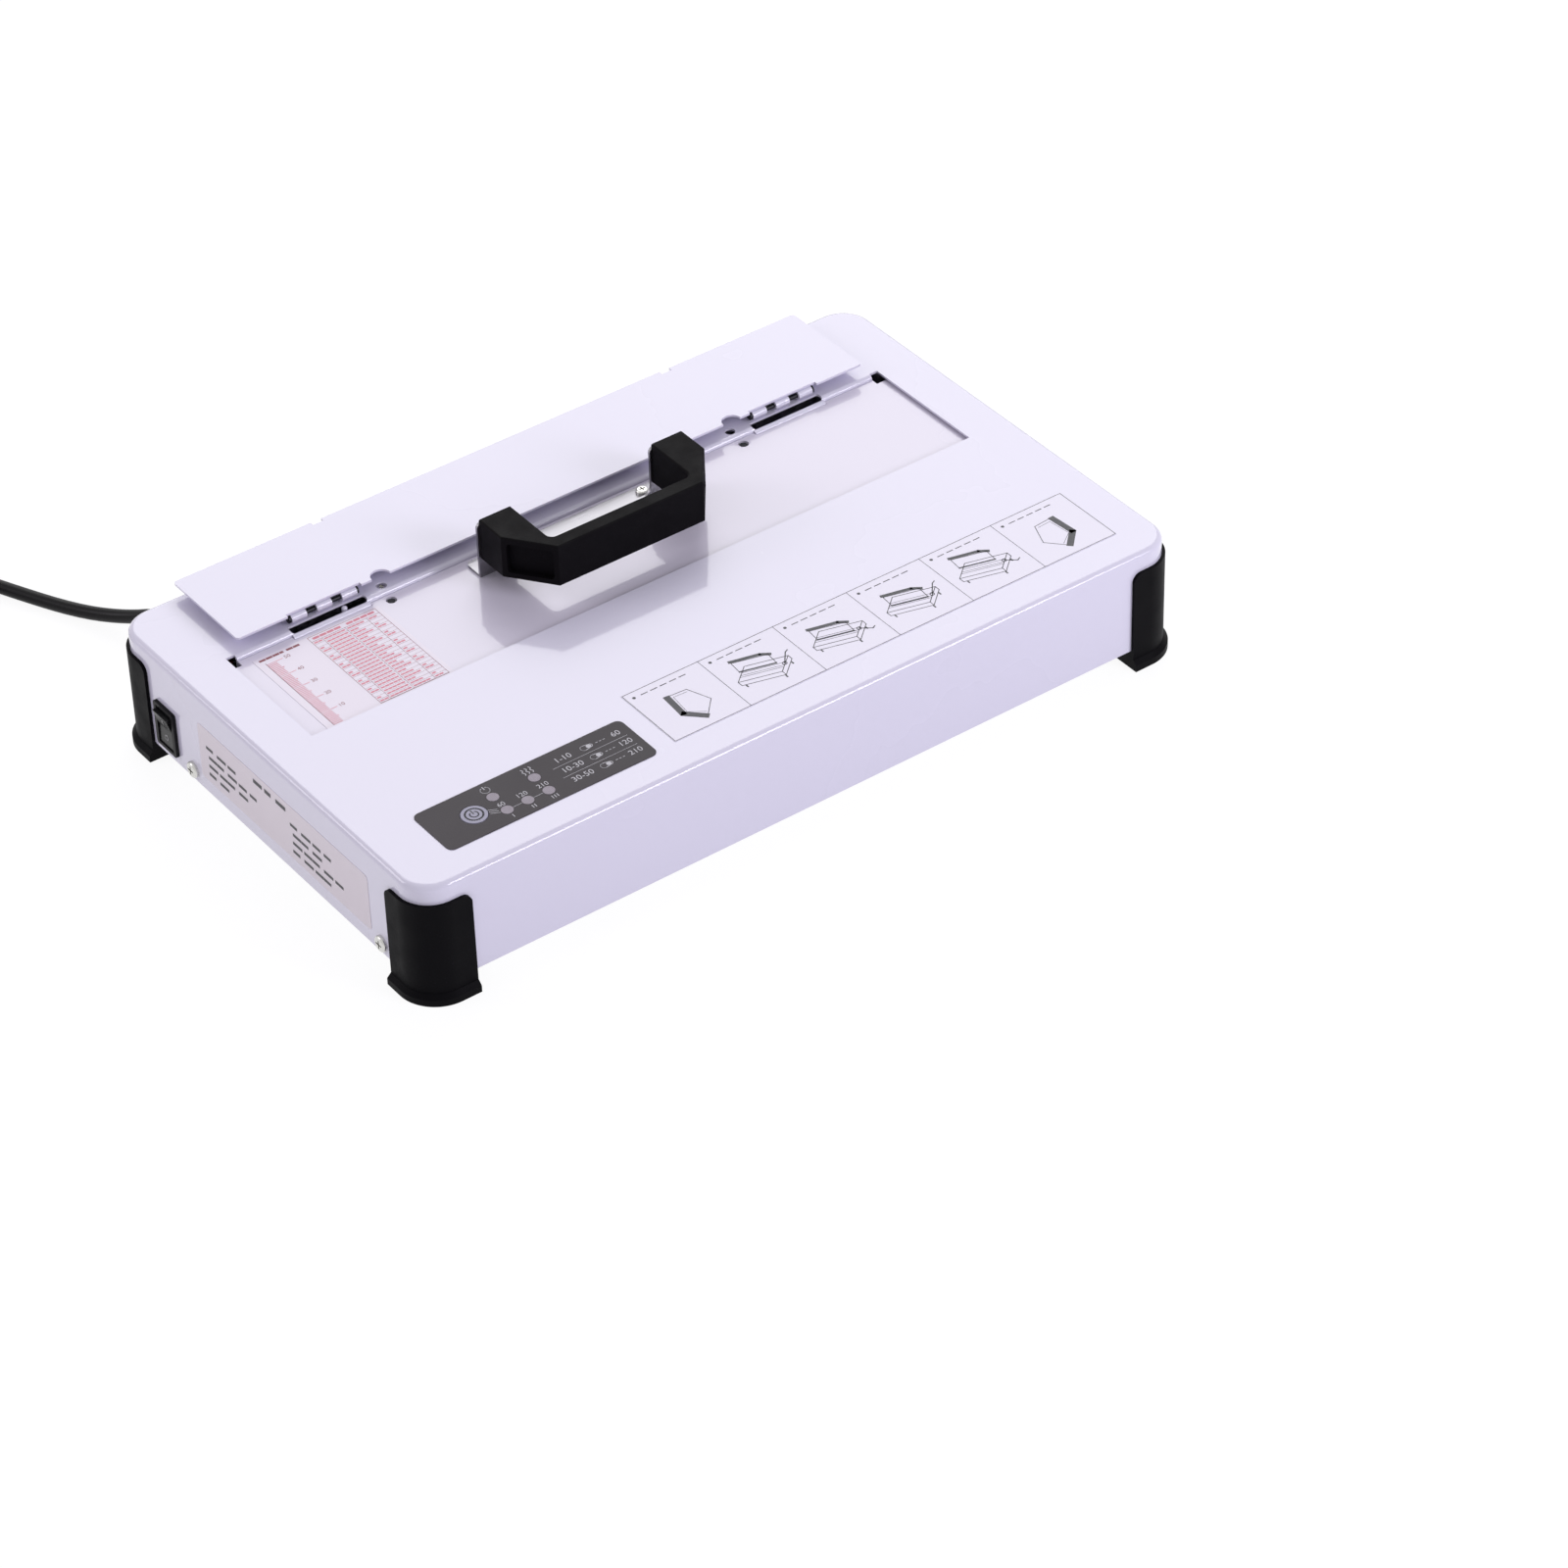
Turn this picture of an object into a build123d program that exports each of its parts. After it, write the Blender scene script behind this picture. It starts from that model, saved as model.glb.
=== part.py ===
from build123d import *
import math
import os

# Thermal binding machine, in millimetres. The floor is z = 0, x and y are measured from
# the middle of the casing, +Y is the back. A panel with a bridge handle slides forward
# under the deck and opens a binding slot over a heated bar; springs push it back.
# An ..._INSET is measured inward from the casing's nearest wall, and a ..._FROM_JAW
# backward from the face of the fixed jaw.

# Sheet-metal casing
CASING_LENGTH = 371.0
CASING_DEPTH = 221.0
WALL_HEIGHT = 47.5
SHEET = 1.0
CORNER_RADIUS = 14.0
BEND_RADIUS = 2.6
FOOT_HEIGHT = 9.0
DECK_TOP = FOOT_HEIGHT + WALL_HEIGHT
DECK_UNDERSIDE = DECK_TOP - SHEET
HALF_LENGTH = CASING_LENGTH / 2
HALF_DEPTH = CASING_DEPTH / 2
BASE_TOP = FOOT_HEIGHT + SHEET

# Gaps between pieces that move past each other, and in screw holes; OVER is how far a
# cutter runs past the face it cuts, WALL_CUT the same for a wall, TINY tells corners apart
RUNNING_GAP = 0.3
SHAFT_CLEARANCE = 0.05
SCREW_CLEARANCE = 0.1
OVER = 1.0
WALL_CUT = 3.0
PRESS_FIT = 0.02
REST_GAP = 0.05
TINY = 1e-6

# Opening in the deck, and the flange behind it that is the fixed jaw
OPENING_INSET = 22.0
OPENING_HALF_LENGTH = HALF_LENGTH - OPENING_INSET
OPENING_BACK_INSET = 49.0
OPENING_DEPTH = 63.65
OPENING_BACK = HALF_DEPTH - OPENING_BACK_INSET
OPENING_FRONT = OPENING_BACK - OPENING_DEPTH
JAW_BEND_RADIUS = 2.0
FIXED_JAW_FACE = OPENING_BACK - JAW_BEND_RADIUS
FIXED_JAW_END_GAP = 4.1
FIXED_JAW_HALF_LENGTH = OPENING_HALF_LENGTH - FIXED_JAW_END_GAP

# Slots in front of the two hinges, each with a ledge in front of it
SLOT_END_DISTANCE = 48.5
SLOT_CENTRE_X = OPENING_HALF_LENGTH - SLOT_END_DISTANCE
SLOT_LENGTH = 36.4
SLOT_WIDTH = 4.0
SLOT_FROM_JAW = 0.2
SLOT_CENTRE_Y = FIXED_JAW_FACE + SLOT_FROM_JAW + SLOT_WIDTH / 2
SLOT_END_RADIUS = 1.2
SLOT_DEPTH = 6.5
LEDGE_LENGTH = 36.6
LEDGE_FROM_JAW = -1.9
LEDGE_FRONT = FIXED_JAW_FACE + LEDGE_FROM_JAW
LEDGE_DROP = 1.2
LEDGE_HEIGHT = 8.3
LEDGE_RADIUS = 1.5

# Screw hole beside each slot
DECK_HOLE_OFFSET = 27.4
DECK_HOLE_FROM_JAW = 4.5
DECK_HOLE_X = SLOT_CENTRE_X - DECK_HOLE_OFFSET
DECK_HOLE_Y = FIXED_JAW_FACE + DECK_HOLE_FROM_JAW
DECK_HOLE_RADIUS = 2.25
DECK_SCREW_LENGTH = 5.0
DECK_NUT_RADIUS = 2.8
DECK_NUT_HEIGHT = 2.4
STUD_OFF_CENTRE = 8.2
STUD_X = STUD_OFF_CENTRE - SLOT_CENTRE_X
STUD_RADIUS = 1.25
STUD_SINK = 0.6
STUD_OFFSET = 1.6
STUD_FOOT_LENGTH = 8.0
STUD_FOOT_DEPTH = 5.0
STUD_FOOT_THICKNESS = 1.5
STUD_FOOT_DROP = 4.0

# Sliding panel and its jaw
PANEL_SHEET = 1.2
PANEL_DROP = 2.0
PANEL_TOP = DECK_TOP - PANEL_DROP
PANEL_UNDERSIDE = PANEL_TOP - PANEL_SHEET
PANEL_END_TUCK = 3.5
PANEL_FRONT_TUCK = 15.85
PANEL_HALF_LENGTH = OPENING_HALF_LENGTH + PANEL_END_TUCK
PANEL_FRONT = OPENING_FRONT - PANEL_FRONT_TUCK
PANEL_BACK = FIXED_JAW_FACE - RUNNING_GAP
PANEL_NOTCH_DEPTH = 3.2
PANEL_HOLE_OFFSET = 26.6
PANEL_HOLE_FROM_JAW = -3.9
PANEL_HOLE_X = SLOT_CENTRE_X - PANEL_HOLE_OFFSET
PANEL_HOLE_Y = FIXED_JAW_FACE + PANEL_HOLE_FROM_JAW
PANEL_HOLE_RADIUS = 2.3
PANEL_BOSS_WALL = 1.4
PANEL_BOSS_HEIGHT = 2.4
PANEL_BOSS_BORE = 4.0
SIDE_FLANGE_SETBACK = 6.0
SIDE_FLANGE_LENGTH = 56.0
SIDE_FLANGE_FRONT = PANEL_FRONT + SIDE_FLANGE_SETBACK
SIDE_FLANGE_BACK = SIDE_FLANGE_FRONT + SIDE_FLANGE_LENGTH
SIDE_FLANGE_DEPTH = 15.3
JAW_SHEET = 1.2
JAW_LEG_DEPTH = 15.0
MOVING_JAW_END_GAP = 2.4
MOVING_JAW_HALF_LENGTH = FIXED_JAW_HALF_LENGTH - MOVING_JAW_END_GAP
MOVING_JAW_FACE = PANEL_BACK
JAW_SCREW_HEAD_RADIUS = 2.0
JAW_SCREW_HEAD_HEIGHT = 1.4
JAW_SCREW_SHORT = 0.4

# Heated bar and the layers that carry it
BAR_END_GAP = 3.5
BAR_DEPTH = 58.0
BAR_FROM_JAW = 6.5
BAR_HALF_LENGTH = OPENING_HALF_LENGTH - BAR_END_GAP
BAR_BACK = FIXED_JAW_FACE + BAR_FROM_JAW
BAR_FRONT = BAR_BACK - BAR_DEPTH
BAR_CORNER_RADIUS = 1.5
BAR_THICKNESS = 4.0
MAT_MARGIN = 4.0
MAT_END_MARGIN = 10.0
MAT_THICKNESS = 1.5
INSULATION_THICKNESS = 3.0
CHANNEL_HEIGHT = 5.5
CHANNEL_WIDTH = 14.0
CHANNEL_SHEET = 1.2
CHANNEL_OVERHANG = 2.0
HEATER_SCREW_INSET = 6.0
HEATER_SCREW_SHORT = 1.5
HEATER_SCREW_CROSS = 3.0
HEATER_SCREW_CROSS_DEPTH = 1.2
CHANNEL_END_X = BAR_HALF_LENGTH - HEATER_SCREW_INSET
CHANNEL_TOP = BASE_TOP + CHANNEL_HEIGHT
MAT_BOTTOM = CHANNEL_TOP + INSULATION_THICKNESS
BAR_BOTTOM = MAT_BOTTOM + MAT_THICKNESS
BAR_TOP = BAR_BOTTOM + BAR_THICKNESS
JAW_LIFT = 0.6
JAW_BOTTOM = BAR_TOP + JAW_LIFT
BAR_CENTRE_Y = (BAR_FRONT + BAR_BACK) / 2
THERMOSTAT_X = 60.0
THERMOSTAT_RADIUS = 7.0
THERMOSTAT_HEIGHT = 7.5
THERMOSTAT_GAP = 0.6
THERMOSTAT_EDGE_RADIUS = 1.0
FUSE_X = -60.0
FUSE_RADIUS = 2.0
FUSE_LENGTH = 12.0
FUSE_LEAD_RADIUS = 0.5
FUSE_LEAD_LENGTH = 32.0
FUSE_SLOT_LENGTH = 36.0
FUSE_SLOT_WIDTH = 5.4

# Handle bracket: an L of sheet with a lug behind each leg of the handle
BRACKET_SHEET = 1.2
BRACKET_HALF_LENGTH = 51.6
BRACKET_FROM_JAW = -13.9
BRACKET_DEPTH = 10.9
BRACKET_FRONT = FIXED_JAW_FACE + BRACKET_FROM_JAW
BRACKET_BACK = BRACKET_FRONT + BRACKET_DEPTH
BRACKET_WALL_RISE = 1.8
BRACKET_LUG_RISE = 24.4
BRACKET_WALL_TOP = DECK_TOP + BRACKET_WALL_RISE
BRACKET_LUG_TOP = DECK_TOP + BRACKET_LUG_RISE
BRACKET_LUG_INNER = 34.0
BRACKET_LUG_FILLET = 4.0
BRACKET_LUG_RADIUS = 2.0
BRACKET_CORNER_RADIUS = 2.5
BRACKET_SCREW_X = 33.8
BRACKET_SCREW_SETBACK = 6.6
BRACKET_SCREW_Y = BRACKET_FRONT + BRACKET_SCREW_SETBACK
BRACKET_SCREW_BITE = 2.2
STOP_CLEARANCE = 0.35
PANEL_TRAVEL = BRACKET_FRONT - OPENING_FRONT - STOP_CLEARANCE

# Bridge handle
HANDLE_HALF_LENGTH = 50.6
HANDLE_LEG_INNER = 34.9
HANDLE_REACH = 35.2
HANDLE_LEG_LENGTH = 15.6
HANDLE_FRONT = BRACKET_FRONT - HANDLE_REACH
HANDLE_GRIP = 7.1
HANDLE_CORNER_Y = BRACKET_FRONT - HANDLE_LEG_LENGTH
HANDLE_CORNER_X = 36.0
HANDLE_LIFT = 6.8
HANDLE_HEIGHT = 19.7
HANDLE_BOTTOM = DECK_TOP + HANDLE_LIFT
HANDLE_TOP = HANDLE_BOTTOM + HANDLE_HEIGHT
HANDLE_INNER_RADIUS = 3.0
HANDLE_EDGE_RADIUS = 0.8
HANDLE_MIDDLE_Z = (HANDLE_BOTTOM + HANDLE_TOP) / 2
POCKET_LENGTH = 20.0
POCKET_HEIGHT = 14.0
POCKET_CORNER_RADIUS = 1.5
POCKET_DEPTH = 2.6
HANDLE_SCREW_X = (HANDLE_HALF_LENGTH + HANDLE_LEG_INNER) / 2
HANDLE_SCREW_BITE = 11.0
HANDLE_SCREW_BORE = 12.0

# Guide rods, slide blocks, return springs
ROD_RADIUS = 3.0
ROD_INSET = 11.5
ROD_X = HALF_LENGTH - ROD_INSET
ROD_CHAMFER = 0.5
ROD_Z = 44.0
BLOCK_SETBACK = 20.0
BLOCK_LENGTH = 38.0
BLOCK_FRONT = PANEL_FRONT + BLOCK_SETBACK
BLOCK_BACK = BLOCK_FRONT + BLOCK_LENGTH
BLOCK_HEIGHT = 13.0
BLOCK_EDGE_RADIUS = 1.5
ROD_BRACKET_SHEET = 2.0
ROD_BRACKET_WIDTH = 14.0
ROD_BRACKET_FOOT = 12.0
ROD_FRONT_INSET = 26.5
ROD_BACK_INSET = 54.5
ROD_BRACKET_FRONT = ROD_FRONT_INSET - HALF_DEPTH
ROD_BRACKET_BACK = HALF_DEPTH - ROD_BACK_INSET
ROD_BRACKET_RISE = 6.5
ROD_OVERHANG = 3.0
SPRING_WIRE_RADIUS = 0.45
SPRING_RADIUS = 4.0
SPRING_TURNS = 16
SPRING_SEAT_GAP = 0.2

# Hinged document rest and its two hinges
FLAP_SHEET = 1.0
FLAP_END_GAP = 7.0
FLAP_FROM_JAW = 3.5
FLAP_OVERHANG = 1.2
FLAP_RISE = 4.8
FLAP_CORNER_RADIUS = 1.5
FLAP_HALF_LENGTH = OPENING_HALF_LENGTH - FLAP_END_GAP
FLAP_FRONT = FIXED_JAW_FACE + FLAP_FROM_JAW
FLAP_BACK = HALF_DEPTH + FLAP_OVERHANG
FLAP_UNDERSIDE = DECK_TOP + FLAP_RISE
FLAP_RECESS_DEPTH = 1.5
FLAP_RECESS_LENGTH = 35.3
FLAP_NOTCH_OFFSET = 27.0
FLAP_NOTCH_X = SLOT_CENTRE_X - FLAP_NOTCH_OFFSET
FLAP_NOTCH_RADIUS = 4.4
FLAP_REAR_NOTCH_WIDTH = 5.0
FLAP_REAR_NOTCH_DEPTH = 2.0
HINGE_AXIS_FROM_JAW = 5.7
HINGE_AXIS_Y = FIXED_JAW_FACE + HINGE_AXIS_FROM_JAW
KNUCKLE_RADIUS = 2.1
HINGE_AXIS_Z = DECK_TOP + RUNNING_GAP + KNUCKLE_RADIUS
HINGE_PIN_RADIUS = 1.0
HINGE_PIN_HEAD_RADIUS = 1.7
HINGE_PIN_HEAD = 0.8
HINGE_PIN_OVERHANG = 1.0
KNUCKLE_WIDTH = 7.0
KNUCKLE_PITCH = 12.0
LEAF_SHEET = 0.8
LEAF_SETBACK = 2.7
LEAF_DEPTH = 16.1
LEAF_FRONT = HINGE_AXIS_Y + LEAF_SETBACK
LEAF_BACK = LEAF_FRONT + LEAF_DEPTH
LEAF_LENGTH = 35.0
RIVET_RADIUS = 1.5
RIVET_HEAD_RADIUS = 2.6
RIVET_HEAD_HEIGHT = 0.7
RIVET_SPACING = 20.0
RIVET_SETBACK = 11.8
RIVET_Y = HINGE_AXIS_Y + RIVET_SETBACK
BUMPER_RADIUS = 4.5
BUMPER_END_GAP = 16.5
BUMPER_INSET = 9.5
BUMPER_X = FLAP_HALF_LENGTH - BUMPER_END_GAP
BUMPER_Y = HALF_DEPTH - BUMPER_INSET
BUMPER_EDGE_RADIUS = 1.0

# Rubber-like corner feet
FOOT_ARM = 22.8
FOOT_WRAP = 1.5
FOOT_WRAP_TOP = 47.8
FOOT_WRAP_RADIUS = 4.0
FOOT_FLANGE = 2.0
FOOT_FLANGE_HEIGHT = 3.0
FOOT_SCREW_INSET = 11.5
FOOT_COUNTERBORE_RADIUS = 4.6
FOOT_COUNTERBORE_DEPTH = 4.5
FOOT_SCREW_BITE = 5.0

# Screws, as head radius, head height and shank radius
M4_HEAD_RADIUS = 3.6
M4_HEAD_HEIGHT = 1.9
M4_RADIUS = 2.0
M3_HEAD_RADIUS = 2.8
M3_HEAD_HEIGHT = 1.8
M3_RADIUS = 1.5
CROSS_WIDTH = 0.7
CROSS_DEPTH = 0.9
SIDE_SCREW_FRONT_INSET = 29.8
SIDE_SCREW_BACK_INSET = 53.7
SIDE_SCREW_FRONT = SIDE_SCREW_FRONT_INSET - HALF_DEPTH
SIDE_SCREW_BACK = HALF_DEPTH - SIDE_SCREW_BACK_INSET
SIDE_SCREW_Z = 14.3
SIDE_SCREW_LENGTH = 4.0
BASE_FLANGE_TOP = 20.0
BASE_FLANGE_FRONT_INSET = 15.5
BASE_FLANGE_BACK_INSET = 47.5
BASE_FLANGE_FRONT = BASE_FLANGE_FRONT_INSET - HALF_DEPTH
BASE_FLANGE_BACK = HALF_DEPTH - BASE_FLANGE_BACK_INSET

# Rocker switch in the left wall
SWITCH_INSET = 35.0
SWITCH_Y = HALF_DEPTH - SWITCH_INSET
SWITCH_Z = 23.75
BEZEL_WIDTH = 15.0
BEZEL_HEIGHT = 21.5
BEZEL_THICKNESS = 1.5
BEZEL_CORNER_RADIUS = 1.2
SWITCH_BODY_WIDTH = 13.0
SWITCH_BODY_HEIGHT = 19.5
SWITCH_BODY_DEPTH = 16.5
PADDLE_HALF_HEIGHT = 8.3
PADDLE_HALF_WIDTH = 5.3
PADDLE_CAVITY_HALF_HEIGHT = 9.2
PADDLE_CAVITY_DEPTH = 8.5
PADDLE_PROUD = 4.2
PADDLE_DISH = 1.3
PADDLE_BACK = 3.0
PADDLE_ROOT = 4.5
PADDLE_TILT = 8.0
PADDLE_PIVOT_INSET = 2.0
PADDLE_PIN_RADIUS = 0.9
PADDLE_PIN_REACH = 0.7
PADDLE_PIN_GAP = 0.1
BLADE_LENGTH = 6.0
BLADE_WIDTH = 4.8
BLADE_THICKNESS = 0.8
BLADE_SPACING = 7.0

# Control overlay, key and lamps on the front left of the deck
OVERLAY_INSET_X = 73.45
OVERLAY_INSET_Y = 28.5
OVERLAY_CENTRE_X = OVERLAY_INSET_X - HALF_LENGTH
OVERLAY_CENTRE_Y = OVERLAY_INSET_Y - HALF_DEPTH
OVERLAY_LENGTH = 97.7
OVERLAY_DEPTH = 27.0
OVERLAY_RADIUS = 3.0
OVERLAY_THICKNESS = 0.3
KEY_OFFSET_X = -29.25
KEY_OFFSET_Y = -0.7
KEY_X = OVERLAY_CENTRE_X + KEY_OFFSET_X
KEY_Y = OVERLAY_CENTRE_Y + KEY_OFFSET_Y
KEY_RADIUS = 5.4
KEY_PROUD = 0.2
KEY_FLANGE_RADIUS = 7.0
KEY_FLANGE_THICKNESS = 0.8
KEY_EDGE_RADIUS = 0.2
KEY_STEM_RADIUS = 2.0
KEY_TRAVEL = 0.5
KEY_GAP = 0.1
LAMP_RADIUS = 2.5
LAMP_FLANGE_RADIUS = 2.9
LAMP_FLANGE = 1.0
LAMP_PROUD = 0.1
LAMP_BACK_OFFSET = 3.8
LAMP_FRONT_OFFSET = -6.1
LAMP_LEFT_OFFSET = -17.55
LAMP_MIDDLE_OFFSET = -7.95
LAMP_RIGHT_OFFSET = 1.85
LAMP_ROW_BACK = OVERLAY_CENTRE_Y + LAMP_BACK_OFFSET
LAMP_ROW_FRONT = OVERLAY_CENTRE_Y + LAMP_FRONT_OFFSET
LAMP_LEFT_X = OVERLAY_CENTRE_X + LAMP_LEFT_OFFSET
LAMP_MIDDLE_X = OVERLAY_CENTRE_X + LAMP_MIDDLE_OFFSET
LAMP_RIGHT_X = OVERLAY_CENTRE_X + LAMP_RIGHT_OFFSET
BOARD_INSET_X = 26.5
BOARD_INSET_Y = 6.5
BOARD_LENGTH = 94.0
BOARD_DEPTH = 36.0
BOARD_LEFT = BOARD_INSET_X - HALF_LENGTH
BOARD_RIGHT = BOARD_LEFT + BOARD_LENGTH
BOARD_FRONT = BOARD_INSET_Y - HALF_DEPTH
BOARD_BACK = BOARD_FRONT + BOARD_DEPTH
BOARD_THICKNESS = 1.6
BOARD_DROP = 7.9
BOARD_TOP = DECK_UNDERSIDE - BOARD_DROP
BOARD_BOTTOM = BOARD_TOP - BOARD_THICKNESS
PILLAR_RADIUS = 2.4
PILLAR_PAD_RADIUS = 3.6
PILLAR_PAD = 0.8
PILLAR_PIN_RADIUS = 1.5
PILLAR_SNAP_RADIUS = 2.1
PILLAR_SNAP = 1.4
PILLAR_INSET = 4.0
KEY_SWITCH_SIZE = 6.0
KEY_SWITCH_BODY = 3.5
KEY_SWITCH_PLUNGER_RADIUS = 1.7
KEY_SWITCH_PLUNGER = 1.0
RELAY_LENGTH = 19.0
RELAY_WIDTH = 15.0
RELAY_HEIGHT = 15.0
RELAY_END_GAP = 15.0
RELAY_X = BOARD_RIGHT - RELAY_END_GAP
RELAY_EDGE_RADIUS = 1.0
BUZZER_RADIUS = 6.0
BUZZER_HEIGHT = 8.0
BUZZER_HOLE_RADIUS = 1.2
BUZZER_END_GAP = 11.0
BUZZER_X = BOARD_LEFT + BUZZER_END_GAP
BOARD_PART_SETBACK = 16.0
BOARD_PART_Y = BOARD_FRONT + BOARD_PART_SETBACK
CONNECTOR_LENGTH = 12.0
CONNECTOR_WIDTH = 6.0
CONNECTOR_HEIGHT = 8.0
CONNECTOR_END_GAP = 33.0
CONNECTOR_PITCH = 22.0
CONNECTOR_LEFT_X = BOARD_LEFT + CONNECTOR_END_GAP
CONNECTOR_RIGHT_X = CONNECTOR_LEFT_X + CONNECTOR_PITCH

# Printed films
STRIP_GAP = 8.95
STRIP_INSET_X = 17.6
STRIP_INSET_Y = 16.8
STRIP_DEPTH = 36.8
STRIP_LEFT = OVERLAY_CENTRE_X + OVERLAY_LENGTH / 2 + STRIP_GAP
STRIP_RIGHT = HALF_LENGTH - STRIP_INSET_X
STRIP_FRONT = STRIP_INSET_Y - HALF_DEPTH
STRIP_BACK = STRIP_FRONT + STRIP_DEPTH
FILM_THICKNESS = 0.15
CHART_END_GAP = 8.5
CHART_LENGTH = 60.0
CHART_SETBACK = 1.15
CHART_DEPTH = 56.5
CHART_LEFT = CHART_END_GAP - OPENING_HALF_LENGTH
CHART_RIGHT = CHART_LEFT + CHART_LENGTH
CHART_FRONT = OPENING_FRONT + CHART_SETBACK
CHART_BACK = CHART_FRONT + CHART_DEPTH
RATING_FRONT_GAP = 7.2
RATING_BACK_GAP = 6.8
RATING_FRONT = SIDE_SCREW_FRONT + RATING_FRONT_GAP
RATING_BACK = SIDE_SCREW_BACK - RATING_BACK_GAP
RATING_BOTTOM = 15.6
RATING_TOP = 42.6
RATING_RADIUS = 2.0

# Mains entry at the back, and the pieces behind it
ENTRY_INSET = 43.5
ENTRY_X = ENTRY_INSET - HALF_LENGTH
ENTRY_Z = 17.0
GLAND_COLLAR_RADIUS = 6.3
GLAND_COLLAR = 2.0
GLAND_NECK_RADIUS = 4.9
GLAND_SLEEVE_ROOT = 5.2
GLAND_SLEEVE_TIP = 3.9
GLAND_SLEEVE_LENGTH = 18.0
TERMINAL_LENGTH = 28.0
TERMINAL_WIDTH = 12.0
TERMINAL_HEIGHT = 12.0
TERMINAL_INSET = 12.5
TERMINAL_BACK = HALF_DEPTH - TERMINAL_INSET
TERMINAL_SCREWS = 3
TERMINAL_SCREW_RADIUS = 1.8
TERMINAL_SCREW_DEPTH = 3.0
CORE_SPACING = 3.5
CORE_RADIUS = 1.2
LEAD_RADIUS = 0.7
WIRE_BEND = 4.0
WIRE_LIFT = 4.0
WIRE_FLOOR = BASE_TOP + WIRE_LIFT
WIRE_SIDE_INSET = 21.5
WIRE_BACK_GAP = 5.5
WIRE_SIDE_X = WIRE_SIDE_INSET - HALF_LENGTH
WIRE_SIDE_Y = BAR_BACK + WIRE_BACK_GAP
WIRE_FRONT_Y = BOARD_PART_Y
WIRE_SPREAD = 6.0
HEATER_WIRE_SPREAD = 2.5
HEATER_WIRE_GAP = 5.0
HEATER_WIRE_RAMP = 12.0

# Mains cord: its diameter, its turns as distances left of the gland, behind its end and
# above the floor, and the coil at its far end
CORD_RADIUS = 3.0
CORD_FLOOR_Z = CORD_RADIUS + REST_GAP
CORD_TURNS = (
    (0.0, 19.5, ENTRY_Z),
    (7.5, 39.5, 7.0),
    (19.5, 61.5, CORD_FLOOR_Z),
    (36.1, 96.7, CORD_FLOOR_Z),
)
CORD_LAST_RUN = 22.0
TIE_THICKNESS = 1.0
TIE_WIDTH = 12.0
TIE_CLEARANCE = 0.25
TIE_RADIUS = 3.0
COIL_LOW_Z = CORD_RADIUS + TIE_THICKNESS + 2 * TIE_CLEARANCE
COIL_RISE = 7.2
COIL_PITCH = 7.8
COIL_INNER_RADIUS = 22.0
COIL_LOW_HALF_TURNS = 6
COIL_HIGH_HALF_TURNS = 5
COIL_LEAD = 2 * CORD_RADIUS
COIL_REACH_X = 58.6
COIL_REACH_Y = 161.4
COIL_START_X = ENTRY_X - COIL_REACH_X
COIL_START_Y = HALF_DEPTH + COIL_REACH_Y
COIL_START_HEADING = 116.7
TAIL_FIRST_RUN = 26.0
TAIL_SECOND_RUN = 34.0
TAIL_LAST_RUN = 26.0
TAIL_FIRST_TURN = 14.0
TAIL_SECOND_TURN = 24.0
GAP_SAMPLES = 500
PLUG_Z = 9.1
PLUG_SLEEVE_LENGTH = 16.0
PLUG_SLEEVE_TIP = 4.0
PLUG_SLEEVE_ROOT = 6.0
PLUG_LENGTH = 30.0
PLUG_WIDTH = 34.0
PLUG_THICKNESS = 18.0
PLUG_EDGE_RADIUS = 4.0
PIN_LENGTH = 18.0
PIN_WIDTH = 6.3
PIN_THICKNESS = 1.6
PIN_TILT = 30.0
PIN_SPREAD = 7.9
PIN_OFFSET = 3.0
EARTH_OFFSET = 5.0


# Plain shapes

def block(x0, x1, y0, y1, z0, z1):
    """Box between two opposite corners."""
    centre = Pos((x0 + x1) / 2, (y0 + y1) / 2, (z0 + z1) / 2)
    return centre * Box(abs(x1 - x0), abs(y1 - y0), abs(z1 - z0))


def sided(side, inner, outer, y0, y1, z0, z1):
    """Box on the left (-1) or right (+1) side, from inner to outer distance from the middle."""
    return block(side * inner, side * outer, y0, y1, z0, z1)


def upright(radius, x, y, z0, z1):
    """Cylinder along Z."""
    return Pos(x, y, (z0 + z1) / 2) * Cylinder(radius, z1 - z0)


def along_y(radius, x, y0, y1, z):
    """Cylinder along Y."""
    return Pos(x, (y0 + y1) / 2, z) * Rot(90, 0, 0) * Cylinder(radius, y1 - y0)


def along_x(radius, x0, x1, y, z):
    """Cylinder along X."""
    return Pos((x0 + x1) / 2, y, z) * Rot(0, 90, 0) * Cylinder(radius, abs(x1 - x0))


def rounded_slab(length, depth, radius, z0, z1):
    """Plate with rounded corners, centred on the machine."""
    return Pos(0, 0, z0) * extrude(RectangleRounded(length, depth, radius), z1 - z0)


def pan_screw(head_radius, head_height, radius, length):
    """Cross-head screw standing on its seat at z = 0, its shank below."""
    head = Pos(0, 0, head_height / 2) * Cylinder(head_radius, head_height)
    head = fillet(head.edges().group_by(Axis.Z)[-1], head_height * 0.6)
    shank = Pos(0, 0, -length / 2) * Cylinder(radius, length)
    reach = head_radius * 1.1
    cross = Pos(0, 0, head_height) * Box(reach, CROSS_WIDTH, 2 * CROSS_DEPTH)
    cross += Pos(0, 0, head_height) * Box(CROSS_WIDTH, reach, 2 * CROSS_DEPTH)
    return head + shank - cross


def rivet_places():
    """Centres of the two rivets of each hinge."""
    offsets = (-RIVET_SPACING / 2, RIVET_SPACING / 2)
    return [(side * SLOT_CENTRE_X + offset, RIVET_Y) for side in (-1, 1) for offset in offsets]


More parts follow.
